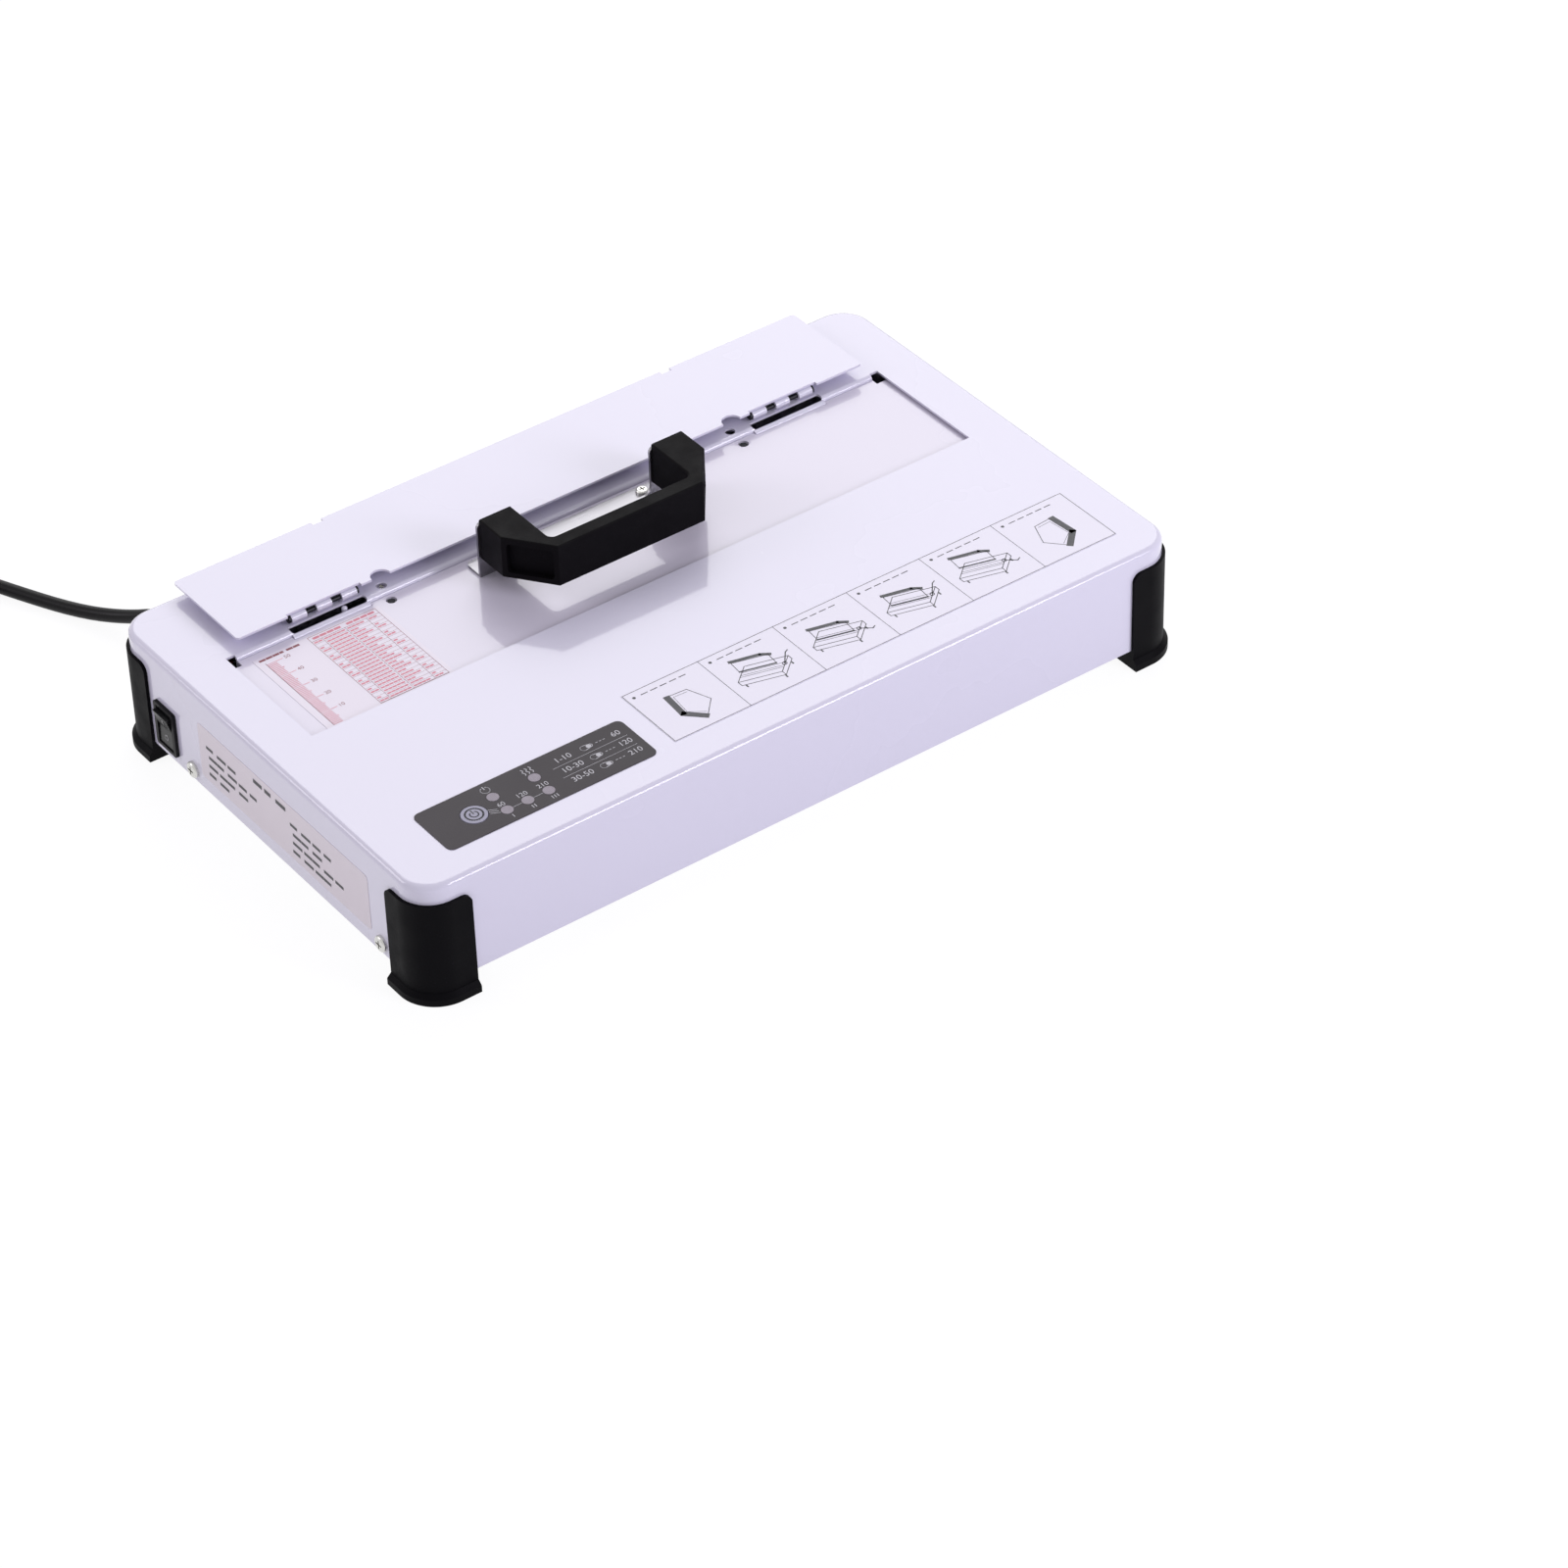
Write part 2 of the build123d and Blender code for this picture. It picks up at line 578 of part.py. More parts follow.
def rivet(top, depth):
    """Round-headed rivet with its head above z = top and its shank below."""
    head = upright(RIVET_HEAD_RADIUS, 0, 0, top, top + RIVET_HEAD_HEIGHT)
    head = fillet(head.edges().group_by(Axis.Z)[-1], RIVET_HEAD_HEIGHT * 0.7)
    return head + upright(RIVET_RADIUS, 0, 0, top - depth, top)


def save(shapes, name):
    """Write one node, as one solid or a group of separate ones."""
    solids = shapes if isinstance(shapes, list) else [shapes]
    pieces = [piece for shape in solids for piece in shape.solids()]
    shape = pieces[0] if len(pieces) == 1 else Compound(children=pieces)
    export_step(shape, f"parts/{name}.step")


# Casing and base

def casing_walls():
    """Pressed shell, open below: rounded corners and a rounded edge round the deck."""
    outer = rounded_slab(CASING_LENGTH, CASING_DEPTH, CORNER_RADIUS, FOOT_HEIGHT, DECK_TOP)
    outer = fillet(outer.edges().group_by(Axis.Z)[-1], BEND_RADIUS)
    inner_length = CASING_LENGTH - 2 * SHEET
    inner_depth = CASING_DEPTH - 2 * SHEET
    inner = rounded_slab(inner_length, inner_depth, CORNER_RADIUS - SHEET, 0, DECK_UNDERSIDE)
    inner = fillet(inner.edges().group_by(Axis.Z)[-1], BEND_RADIUS - SHEET)
    return outer - inner


def fixed_jaw():
    """Flange bent down from the back of the opening, with its rounded upper bend."""
    bend_z = DECK_TOP - JAW_BEND_RADIUS
    inner_radius = JAW_BEND_RADIUS - SHEET
    slant = math.sqrt(0.5)
    outer_arc = ThreePointArc(
        (OPENING_BACK, DECK_TOP),
        (OPENING_BACK - JAW_BEND_RADIUS * slant, bend_z + JAW_BEND_RADIUS * slant),
        (FIXED_JAW_FACE, bend_z),
    )
    inner_arc = ThreePointArc(
        (FIXED_JAW_FACE + SHEET, bend_z),
        (OPENING_BACK - inner_radius * slant, bend_z + inner_radius * slant),
        (OPENING_BACK, DECK_UNDERSIDE),
    )
    front = Line((FIXED_JAW_FACE, bend_z), (FIXED_JAW_FACE, JAW_BOTTOM))
    foot = Line((FIXED_JAW_FACE, JAW_BOTTOM), (FIXED_JAW_FACE + SHEET, JAW_BOTTOM))
    back = Line((FIXED_JAW_FACE + SHEET, JAW_BOTTOM), (FIXED_JAW_FACE + SHEET, bend_z))
    top = Line((OPENING_BACK, DECK_UNDERSIDE), (OPENING_BACK, DECK_TOP))
    profile = make_face(outer_arc + front + foot + back + inner_arc + top)
    face = Plane.YZ.offset(-FIXED_JAW_HALF_LENGTH) * profile
    return extrude(face, 2 * FIXED_JAW_HALF_LENGTH, dir=(1, 0, 0))


def hinge_ledge(side):
    """Forward step of the fixed jaw in front of one hinge slot."""
    inner = SLOT_CENTRE_X - LEDGE_LENGTH / 2
    outer = SLOT_CENTRE_X + LEDGE_LENGTH / 2
    top = DECK_TOP - LEDGE_DROP
    slot_front = SLOT_CENTRE_Y - SLOT_WIDTH / 2
    ledge = sided(side, inner, outer, LEDGE_FRONT, slot_front, top - LEDGE_HEIGHT, top)
    upper_front = ledge.edges().filter_by(Axis.X).group_by(Axis.Y)[0].sort_by(Axis.Z)[-1]
    ledge = fillet(upper_front, LEDGE_RADIUS)
    return ledge


def hinge_slot(side):
    """Long slot through the deck in front of one hinge."""
    outline = RectangleRounded(SLOT_LENGTH, SLOT_WIDTH, SLOT_END_RADIUS)
    slot = extrude(outline, SLOT_DEPTH + OVER)
    return Pos(side * SLOT_CENTRE_X, SLOT_CENTRE_Y, DECK_TOP - SLOT_DEPTH) * slot


def lamp_places():
    """Centres of the five lamps."""
    back_row = [(LAMP_LEFT_X, LAMP_ROW_BACK), (LAMP_RIGHT_X, LAMP_ROW_BACK)]
    front_row = [(x, LAMP_ROW_FRONT) for x in (LAMP_LEFT_X, LAMP_MIDDLE_X, LAMP_RIGHT_X)]
    return back_row + front_row


def side_screw_places():
    """Side and y of the screws that hold the casing to the base."""
    return [(side, y) for side in (-1, 1) for y in (SIDE_SCREW_FRONT, SIDE_SCREW_BACK)]


def switch_block(x0, x1, half_width, half_height):
    """Box on the centre line of the rocker switch."""
    y0, y1 = SWITCH_Y - half_width, SWITCH_Y + half_width
    return block(x0, x1, y0, y1, SWITCH_Z - half_height, SWITCH_Z + half_height)


def through_deck(radius, x, y):
    """Cutter for a round hole through the deck."""
    return upright(radius, x, y, DECK_UNDERSIDE - OVER, DECK_TOP + OVER)


def top_casing():
    """Deck and walls with the fixed jaw, the opening and every hole."""
    shell = casing_walls()
    half = OPENING_HALF_LENGTH
    shell -= block(-half, half, OPENING_FRONT, OPENING_BACK, DECK_UNDERSIDE - OVER, DECK_TOP + OVER)
    shell += fixed_jaw()
    for side in (-1, 1):
        shell += hinge_ledge(side)
        shell -= hinge_slot(side)
        shell -= through_deck(DECK_HOLE_RADIUS, side * DECK_HOLE_X, DECK_HOLE_Y)
    for x, y in rivet_places():
        shell -= through_deck(RIVET_RADIUS, x, y)
    for x, y in lamp_places():
        shell -= through_deck(LAMP_RADIUS + SCREW_CLEARANCE, x, y)
    shell -= through_deck(KEY_RADIUS + RUNNING_GAP, KEY_X, KEY_Y)
    for side, y in side_screw_places():
        wall = side * HALF_LENGTH
        hole_radius = M4_RADIUS + SCREW_CLEARANCE
        shell -= along_x(hole_radius, wall - WALL_CUT, wall + WALL_CUT, y, SIDE_SCREW_Z)
    neck_radius = GLAND_NECK_RADIUS + SCREW_CLEARANCE
    shell -= along_y(neck_radius, ENTRY_X, HALF_DEPTH - WALL_CUT, HALF_DEPTH + WALL_CUT, ENTRY_Z)
    half_width = SWITCH_BODY_WIDTH / 2 + SCREW_CLEARANCE
    half_height = SWITCH_BODY_HEIGHT / 2 + SCREW_CLEARANCE
    return shell - switch_block(-HALF_LENGTH - WALL_CUT, -HALF_LENGTH + WALL_CUT, half_width, half_height)


def base_plate():
    """Floor of the casing, with a flange up each side for the casing screws."""
    length = CASING_LENGTH - 2 * SHEET
    depth = CASING_DEPTH - 2 * SHEET
    plate = rounded_slab(length, depth, CORNER_RADIUS - SHEET, FOOT_HEIGHT, BASE_TOP)
    outer = HALF_LENGTH - SHEET
    front, back = BASE_FLANGE_FRONT, BASE_FLANGE_BACK
    for side in (-1, 1):
        plate += sided(side, outer - SHEET, outer, front, back, FOOT_HEIGHT, BASE_FLANGE_TOP)
    for side, y in side_screw_places():
        middle = side * outer
        plate -= along_x(M4_RADIUS, middle - WALL_CUT, middle + WALL_CUT, y, SIDE_SCREW_Z)
    for x, y in foot_screw_places():
        plate -= upright(M4_RADIUS, x, y, FOOT_HEIGHT - OVER, BASE_TOP + OVER)
    return plate


def casing_screws():
    """Pan-head screws through the side walls into the base flanges."""
    screws = []
    for side, y in side_screw_places():
        screw = pan_screw(M4_HEAD_RADIUS, M4_HEAD_HEIGHT, M4_RADIUS, SIDE_SCREW_LENGTH)
        screws.append(Pos(side * HALF_LENGTH, y, SIDE_SCREW_Z) * Rot(0, side * 90, 0) * screw)
    return screws


def deck_screw():
    """Screw in the left deck hole, let into it, with its nut under the deck."""
    head_radius = DECK_HOLE_RADIUS - SCREW_CLEARANCE
    screw = pan_screw(head_radius, SHEET * 0.7, M3_RADIUS, DECK_SCREW_LENGTH)
    nut = extrude(RegularPolygon(DECK_NUT_RADIUS, 6), -DECK_NUT_HEIGHT)
    nut -= upright(M3_RADIUS, 0, 0, -DECK_NUT_HEIGHT - OVER, OVER)
    place = Pos(-DECK_HOLE_X, DECK_HOLE_Y, DECK_UNDERSIDE)
    return [place * screw, place * nut]


def slot_stud():
    """Small white stop stud that stands in the left hinge slot."""
    jaw_back = FIXED_JAW_FACE + SHEET
    foot_top = DECK_TOP - SLOT_DEPTH - STUD_FOOT_DROP
    half = STUD_FOOT_LENGTH / 2
    foot_bottom = foot_top - STUD_FOOT_THICKNESS
    stud = block(STUD_X - half, STUD_X + half, jaw_back, jaw_back + STUD_FOOT_DEPTH, foot_bottom, foot_top)
    pin = upright(STUD_RADIUS, STUD_X, jaw_back + STUD_OFFSET, foot_top, DECK_TOP - STUD_SINK)
    return stud + fillet(pin.edges().group_by(Axis.Z)[-1], STUD_RADIUS * 0.8)


# Feet

def corner_block(inner_x, inner_y, proud, z0, z1):
    """Corner of a slab that follows the casing's rounded corner at a given distance."""
    length = CASING_LENGTH + 2 * proud
    depth = CASING_DEPTH + 2 * proud
    slab = rounded_slab(length, depth, CORNER_RADIUS + proud, z0, z1)
    far_x = HALF_LENGTH + proud + OVER
    far_y = HALF_DEPTH + proud + OVER
    return slab & block(inner_x, far_x, inner_y, far_y, z0, z1)


def foot():
    """Right rear foot: a block under the corner, and a wrap up its two walls."""
    inner_x = HALF_LENGTH - FOOT_ARM
    inner_y = HALF_DEPTH - FOOT_ARM
    wrap = corner_block(inner_x, inner_y, FOOT_WRAP, 0, FOOT_WRAP_TOP)
    hollow = rounded_slab(CASING_LENGTH, CASING_DEPTH, CORNER_RADIUS, FOOT_HEIGHT, FOOT_WRAP_TOP + OVER)
    wrap -= hollow
    upper = wrap.edges().group_by(Axis.Z)[-1]
    ends = upper.filter_by(lambda edge: edge.length < FOOT_WRAP + OVER)
    wrap = fillet(ends, FOOT_WRAP_RADIUS)
    skirt_top = FOOT_FLANGE_HEIGHT + FOOT_FLANGE
    skirt = corner_block(inner_x, inner_y, FOOT_WRAP + FOOT_FLANGE, 0, skirt_top)
    rim = skirt.edges().group_by(Axis.Z)[-1]
    outer_rim = rim.filter_by(
        lambda edge: edge.center().X > HALF_LENGTH - OVER or edge.center().Y > HALF_DEPTH - OVER
    )
    skirt = chamfer(outer_rim, FOOT_FLANGE * 0.95)
    x = HALF_LENGTH - FOOT_SCREW_INSET
    y = HALF_DEPTH - FOOT_SCREW_INSET
    shape = wrap + skirt
    shape -= upright(FOOT_COUNTERBORE_RADIUS, x, y, -OVER, FOOT_COUNTERBORE_DEPTH)
    shape -= upright(M4_RADIUS + SCREW_CLEARANCE, x, y, 0, FOOT_HEIGHT + OVER)
    return shape


def foot_screw_places():
    """Centres of the four screws that hold the feet."""
    x = HALF_LENGTH - FOOT_SCREW_INSET
    y = HALF_DEPTH - FOOT_SCREW_INSET
    return [(sx * x, sy * y) for sx in (-1, 1) for sy in (-1, 1)]


def foot_screws():
    """Screws up through the feet into the base."""
    length = FOOT_HEIGHT - FOOT_COUNTERBORE_DEPTH + FOOT_SCREW_BITE
    screw = Rot(180, 0, 0) * pan_screw(M4_HEAD_RADIUS, M4_HEAD_HEIGHT, M4_RADIUS, length)
    return [Pos(x, y, FOOT_COUNTERBORE_DEPTH) * screw for x, y in foot_screw_places()]


# Heater

def channel_places():
    """Middle of each cross channel under the heater."""
    return (-CHANNEL_END_X, 0, CHANNEL_END_X)


def heater_screw_places():
    """Centres of the screws through the ends of the bar."""
    ys = (BAR_FRONT + HEATER_SCREW_INSET, BAR_BACK - HEATER_SCREW_INSET)
    return [(x, y) for x in (-CHANNEL_END_X, CHANNEL_END_X) for y in ys]


def countersunk(radius, head_radius, top, bottom):
    """Countersunk screw, or its hole, down to z = bottom."""
    head_height = head_radius - radius
    head = Pos(0, 0, top - head_height / 2) * Cone(radius, head_radius, head_height)
    return head + upright(radius, 0, 0, bottom, top - head_height / 2)


def thermostat_pocket(z0, z1):
    """Round space for the thermostat through the layers below the bar."""
    return upright(THERMOSTAT_RADIUS + THERMOSTAT_GAP, THERMOSTAT_X, BAR_CENTRE_Y, z0, z1)


def fuse_pocket(z0, z1):
    """Slot for the thermal fuse through the layers below the bar."""
    middle = Pos(FUSE_X, BAR_CENTRE_Y, (z0 + z1) / 2)
    return middle * Box(FUSE_SLOT_LENGTH, FUSE_SLOT_WIDTH, z1 - z0)


def heating_bar():
    """Aluminium bar that warms the spine of the document."""
    bar = block(-BAR_HALF_LENGTH, BAR_HALF_LENGTH, BAR_FRONT, BAR_BACK, BAR_BOTTOM, BAR_TOP)
    bar = fillet(bar.edges().filter_by(Axis.Z), BAR_CORNER_RADIUS)
    head_radius = M3_HEAD_RADIUS + SCREW_CLEARANCE
    hole = countersunk(M3_RADIUS + SCREW_CLEARANCE, head_radius, BAR_TOP, BAR_BOTTOM - OVER)
    for x, y in heater_screw_places():
        bar -= Pos(x, y, 0) * hole
    return bar


def heater_mat():
    """Flat heating element under the bar."""
    half = BAR_HALF_LENGTH - MAT_END_MARGIN
    mat = block(-half, half, BAR_FRONT + MAT_MARGIN, BAR_BACK - MAT_MARGIN, MAT_BOTTOM, BAR_BOTTOM)
    mat -= thermostat_pocket(MAT_BOTTOM - OVER, BAR_BOTTOM + OVER)
    return mat - fuse_pocket(MAT_BOTTOM - OVER, BAR_BOTTOM + OVER)


def insulation_board():
    """Heat-resistant board between the element and the channels."""
    board = block(-BAR_HALF_LENGTH, BAR_HALF_LENGTH, BAR_FRONT, BAR_BACK, CHANNEL_TOP, MAT_BOTTOM)
    board -= thermostat_pocket(CHANNEL_TOP - OVER, MAT_BOTTOM + OVER)
    board -= fuse_pocket(CHANNEL_TOP - OVER, MAT_BOTTOM + OVER)
    for x, y in heater_screw_places():
        board -= upright(M3_RADIUS + SCREW_CLEARANCE, x, y, CHANNEL_TOP - OVER, MAT_BOTTOM + OVER)
    return board


def heater_channels():
    """Folded channels that carry the heater on the base."""
    channels = []
    front = BAR_FRONT - CHANNEL_OVERHANG
    back = BAR_BACK + CHANNEL_OVERHANG
    half = CHANNEL_WIDTH / 2
    for x in channel_places():
        channel = block(x - half, x + half, front, back, BASE_TOP, CHANNEL_TOP)
        inner = half - CHANNEL_SHEET
        ceiling = CHANNEL_TOP - CHANNEL_SHEET
        channel -= block(x - inner, x + inner, front - OVER, back + OVER, BASE_TOP - OVER, ceiling)
        for screw_x, screw_y in heater_screw_places():
            if screw_x == x:
                channel -= upright(M3_RADIUS, x, screw_y, BASE_TOP, CHANNEL_TOP + OVER)
        channels.append(channel)
    return channels


def heater_screws():
    """Countersunk screws through the bar into the end channels."""
    screw = countersunk(M3_RADIUS, M3_HEAD_RADIUS, BAR_TOP, BASE_TOP + HEATER_SCREW_SHORT)
    arm = Box(HEATER_SCREW_CROSS, CROSS_WIDTH, HEATER_SCREW_CROSS_DEPTH)
    cross = Pos(0, 0, BAR_TOP) * (arm + Rot(0, 0, 90) * arm)
    return [Pos(x, y, 0) * (screw - cross) for x, y in heater_screw_places()]


def thermostat():
    """Round thermostat pressed against the underside of the bar."""
    bottom = BAR_BOTTOM - THERMOSTAT_HEIGHT
    body = upright(THERMOSTAT_RADIUS, THERMOSTAT_X, BAR_CENTRE_Y, bottom, BAR_BOTTOM)
    return fillet(body.edges().group_by(Axis.Z)[0], THERMOSTAT_EDGE_RADIUS)


def thermal_fuse():
    """Axial fuse along the underside of the bar, with its two leads."""
    z = BAR_BOTTOM - FUSE_RADIUS
    half = FUSE_LENGTH / 2
    lead = FUSE_LEAD_LENGTH / 2
    body = along_x(FUSE_RADIUS, FUSE_X - half, FUSE_X + half, BAR_CENTRE_Y, z)
    return body + along_x(FUSE_LEAD_RADIUS, FUSE_X - lead, FUSE_X + lead, BAR_CENTRE_Y, z)


# Sliding panel, its jaw and its guides

def ledge_clearance(side, z0, z1):
    """Room that the panel and its jaw leave round one ledge of the fixed jaw."""
    inner = SLOT_CENTRE_X - LEDGE_LENGTH / 2 - RUNNING_GAP
    outer = SLOT_CENTRE_X + LEDGE_LENGTH / 2 + RUNNING_GAP
    return sided(side, inner, outer, LEDGE_FRONT - RUNNING_GAP, FIXED_JAW_FACE, z0, z1)


def sliding_panel():
    """Sheet panel under the deck, with a flange down each side for the slide blocks."""
    half = PANEL_HALF_LENGTH
    panel = block(-half, half, PANEL_FRONT, PANEL_BACK, PANEL_UNDERSIDE, PANEL_TOP)
    below = PANEL_UNDERSIDE - OVER
    above = PANEL_TOP + OVER
    notch = FIXED_JAW_HALF_LENGTH - SCREW_CLEARANCE
    notch_front = PANEL_BACK - PANEL_NOTCH_DEPTH
    flange_bottom = PANEL_UNDERSIDE - SIDE_FLANGE_DEPTH
    front, back = SIDE_FLANGE_FRONT, SIDE_FLANGE_BACK
    for side in (-1, 1):
        panel -= sided(side, notch, half + OVER, notch_front, PANEL_BACK + OVER, below, above)
        panel -= ledge_clearance(side, below, above)
        panel += sided(side, half - PANEL_SHEET, half, front, back, flange_bottom, PANEL_UNDERSIDE)
        panel -= upright(PANEL_HOLE_RADIUS, side * PANEL_HOLE_X, PANEL_HOLE_Y, below, above)
        boss_x = side * BRACKET_SCREW_X
        boss_bottom = PANEL_UNDERSIDE - PANEL_BOSS_HEIGHT
        panel += upright(M3_RADIUS + PANEL_BOSS_WALL, boss_x, BRACKET_SCREW_Y, boss_bottom, PANEL_UNDERSIDE)
        panel -= upright(M3_RADIUS, boss_x, BRACKET_SCREW_Y, PANEL_UNDERSIDE - PANEL_BOSS_BORE, above)
    return panel


def moving_jaw():
    """Angle under the panel: its upright leg presses the document on the fixed jaw."""
    half = MOVING_JAW_HALF_LENGTH
    face = MOVING_JAW_FACE
    leg_z = PANEL_UNDERSIDE - JAW_SHEET
    jaw = block(-half, half, face - JAW_SHEET, face, JAW_BOTTOM, PANEL_UNDERSIDE)
    jaw += block(-half, half, face - JAW_LEG_DEPTH, face, leg_z, PANEL_UNDERSIDE)
    for side in (-1, 1):
        top = DECK_TOP - LEDGE_DROP - LEDGE_HEIGHT
        above = PANEL_UNDERSIDE + OVER
        jaw -= ledge_clearance(side, top - RUNNING_GAP, above)
        jaw -= upright(M3_RADIUS, side * PANEL_HOLE_X, PANEL_HOLE_Y, leg_z - OVER, above)
        boss_radius = M3_RADIUS + PANEL_BOSS_WALL + RUNNING_GAP
        jaw -= upright(boss_radius, side * BRACKET_SCREW_X, BRACKET_SCREW_Y, leg_z - OVER, above)
    return jaw


def jaw_screws():
    """Screws from below that hold the jaw; their ends show in the panel's two holes."""
    leg_z = PANEL_UNDERSIDE - JAW_SHEET
    length = JAW_SHEET + PANEL_SHEET - JAW_SCREW_SHORT
    screw = pan_screw(JAW_SCREW_HEAD_RADIUS, JAW_SCREW_HEAD_HEIGHT, M3_RADIUS, length)
    places = [Pos(side * PANEL_HOLE_X, PANEL_HOLE_Y, leg_z) for side in (-1, 1)]
    return [place * Rot(180, 0, 0) * screw for place in places]


def slide_blocks():
    """Plastic blocks on the panel's side flanges that run on the guide rods."""
    blocks = []
    inner = PANEL_HALF_LENGTH
    outer = 2 * ROD_X - inner
    bottom = ROD_Z - BLOCK_HEIGHT / 2
    for side in (-1, 1):
        body = sided(side, inner, outer, BLOCK_FRONT, BLOCK_BACK, bottom, bottom + BLOCK_HEIGHT)
        body = fillet(body.edges().filter_by(Axis.Y), BLOCK_EDGE_RADIUS)
        bore_radius = ROD_RADIUS + SHAFT_CLEARANCE
        body -= along_y(bore_radius, side * ROD_X, BLOCK_FRONT - OVER, BLOCK_BACK + OVER, ROD_Z)
        blocks.append(body)
    return blocks


def guide_rods():
    """Steel rods, one on each side, held by the brackets at their ends."""
    front = ROD_BRACKET_FRONT - ROD_BRACKET_SHEET - ROD_OVERHANG
    back = ROD_BRACKET_BACK + ROD_BRACKET_SHEET + ROD_OVERHANG
    rods = []
    for side in (-1, 1):
        rod = along_y(ROD_RADIUS, side * ROD_X, front, back, ROD_Z)
        rings = rod.edges().group_by(Axis.Y)
        rods.append(chamfer(rings[0] + rings[-1], ROD_CHAMFER))
    return rods


def rod_brackets():
    """Folded brackets on the base that hold the ends of the rods."""
    brackets = []
    half = ROD_BRACKET_WIDTH / 2
    inner, outer = ROD_X - half, ROD_X + half
    top = ROD_Z + ROD_BRACKET_RISE
    for side in (-1, 1):
        for face, outward in ((ROD_BRACKET_FRONT, -1), (ROD_BRACKET_BACK, 1)):
            far = face + outward * ROD_BRACKET_SHEET
            plate = sided(side, inner, outer, face, far, BASE_TOP, top)
            toe = face + outward * ROD_BRACKET_FOOT
            plate += sided(side, inner, outer, face, toe, BASE_TOP, BASE_TOP + ROD_BRACKET_SHEET)
            plate -= along_y(ROD_RADIUS + PRESS_FIT, side * ROD_X, face - WALL_CUT, face + WALL_CUT, ROD_Z)
            brackets.append(plate)
    return brackets


def return_springs():
    """Compression springs on the rods, between the front brackets and the slide blocks."""
    start = ROD_BRACKET_FRONT + SPRING_WIRE_RADIUS + SPRING_SEAT_GAP
    length = BLOCK_FRONT - SPRING_WIRE_RADIUS - SPRING_SEAT_GAP - start
    springs = []
    for side in (-1, 1):
        helix = Helix(pitch=length / SPRING_TURNS, height=length, radius=SPRING_RADIUS)
        wire = Plane(origin=helix @ 0, z_dir=helix % 0) * Circle(SPRING_WIRE_RADIUS)
        coil = sweep(wire, path=helix)
        springs.append(Pos(side * ROD_X, start, ROD_Z) * Rot(-90, 0, 0) * coil)
    return springs


# Handle and its bracket

def bracket_face():
    """Upright face of the bracket: a low wall that rises to a lug at each end."""
    bottom = PANEL_TOP
    outline = Polyline(
        (-BRACKET_HALF_LENGTH, bottom), (-BRACKET_HALF_LENGTH, BRACKET_LUG_TOP),
        (-BRACKET_LUG_INNER, BRACKET_LUG_TOP), (-BRACKET_LUG_INNER, BRACKET_WALL_TOP),
        (BRACKET_LUG_INNER, BRACKET_WALL_TOP), (BRACKET_LUG_INNER, BRACKET_LUG_TOP),
        (BRACKET_HALF_LENGTH, BRACKET_LUG_TOP), (BRACKET_HALF_LENGTH, bottom),
        close=True,
    )
    face = make_face(outline)
    inside = [v for v in face.vertices() if abs(v.Y - BRACKET_WALL_TOP) < TINY]
    face = fillet(inside, BRACKET_LUG_FILLET)
    upper = [v for v in face.vertices() if abs(v.Y - BRACKET_LUG_TOP) < TINY]
    return fillet(upper, BRACKET_LUG_RADIUS)


def handle_bracket():
    """L-shaped bracket screwed to the panel, with the two lugs that carry the handle."""
    half = BRACKET_HALF_LENGTH
    upright_sheet = extrude(Plane.XZ.offset(-BRACKET_FRONT) * bracket_face(), -BRACKET_SHEET)
    flange = block(-half, half, BRACKET_FRONT, BRACKET_BACK, PANEL_TOP, PANEL_TOP + BRACKET_SHEET)
    flange = fillet(flange.edges().filter_by(Axis.Z).group_by(Axis.Y)[-1], BRACKET_CORNER_RADIUS)
    bracket = flange + upright_sheet
    for side in (-1, 1):
        hole_radius = M3_RADIUS + SCREW_CLEARANCE
        top = PANEL_TOP + BRACKET_SHEET + OVER
        bracket -= upright(hole_radius, side * BRACKET_SCREW_X, BRACKET_SCREW_Y, PANEL_TOP - OVER, top)
        back = BRACKET_FRONT + BRACKET_SHEET + OVER
        hole_radius = M4_RADIUS + SCREW_CLEARANCE
        bracket -= along_y(hole_radius, side * HANDLE_SCREW_X, BRACKET_FRONT - OVER, back, HANDLE_MIDDLE_Z)
    return bracket


def bracket_screws():
    """Two cross-head screws that hold the bracket to the panel."""
    length = BRACKET_SHEET + PANEL_SHEET + BRACKET_SCREW_BITE
    screw = pan_screw(M3_HEAD_RADIUS, M3_HEAD_HEIGHT, M3_RADIUS, length)
    z = PANEL_TOP + BRACKET_SHEET
    return [Pos(side * BRACKET_SCREW_X, BRACKET_SCREW_Y, z) * screw for side in (-1, 1)]


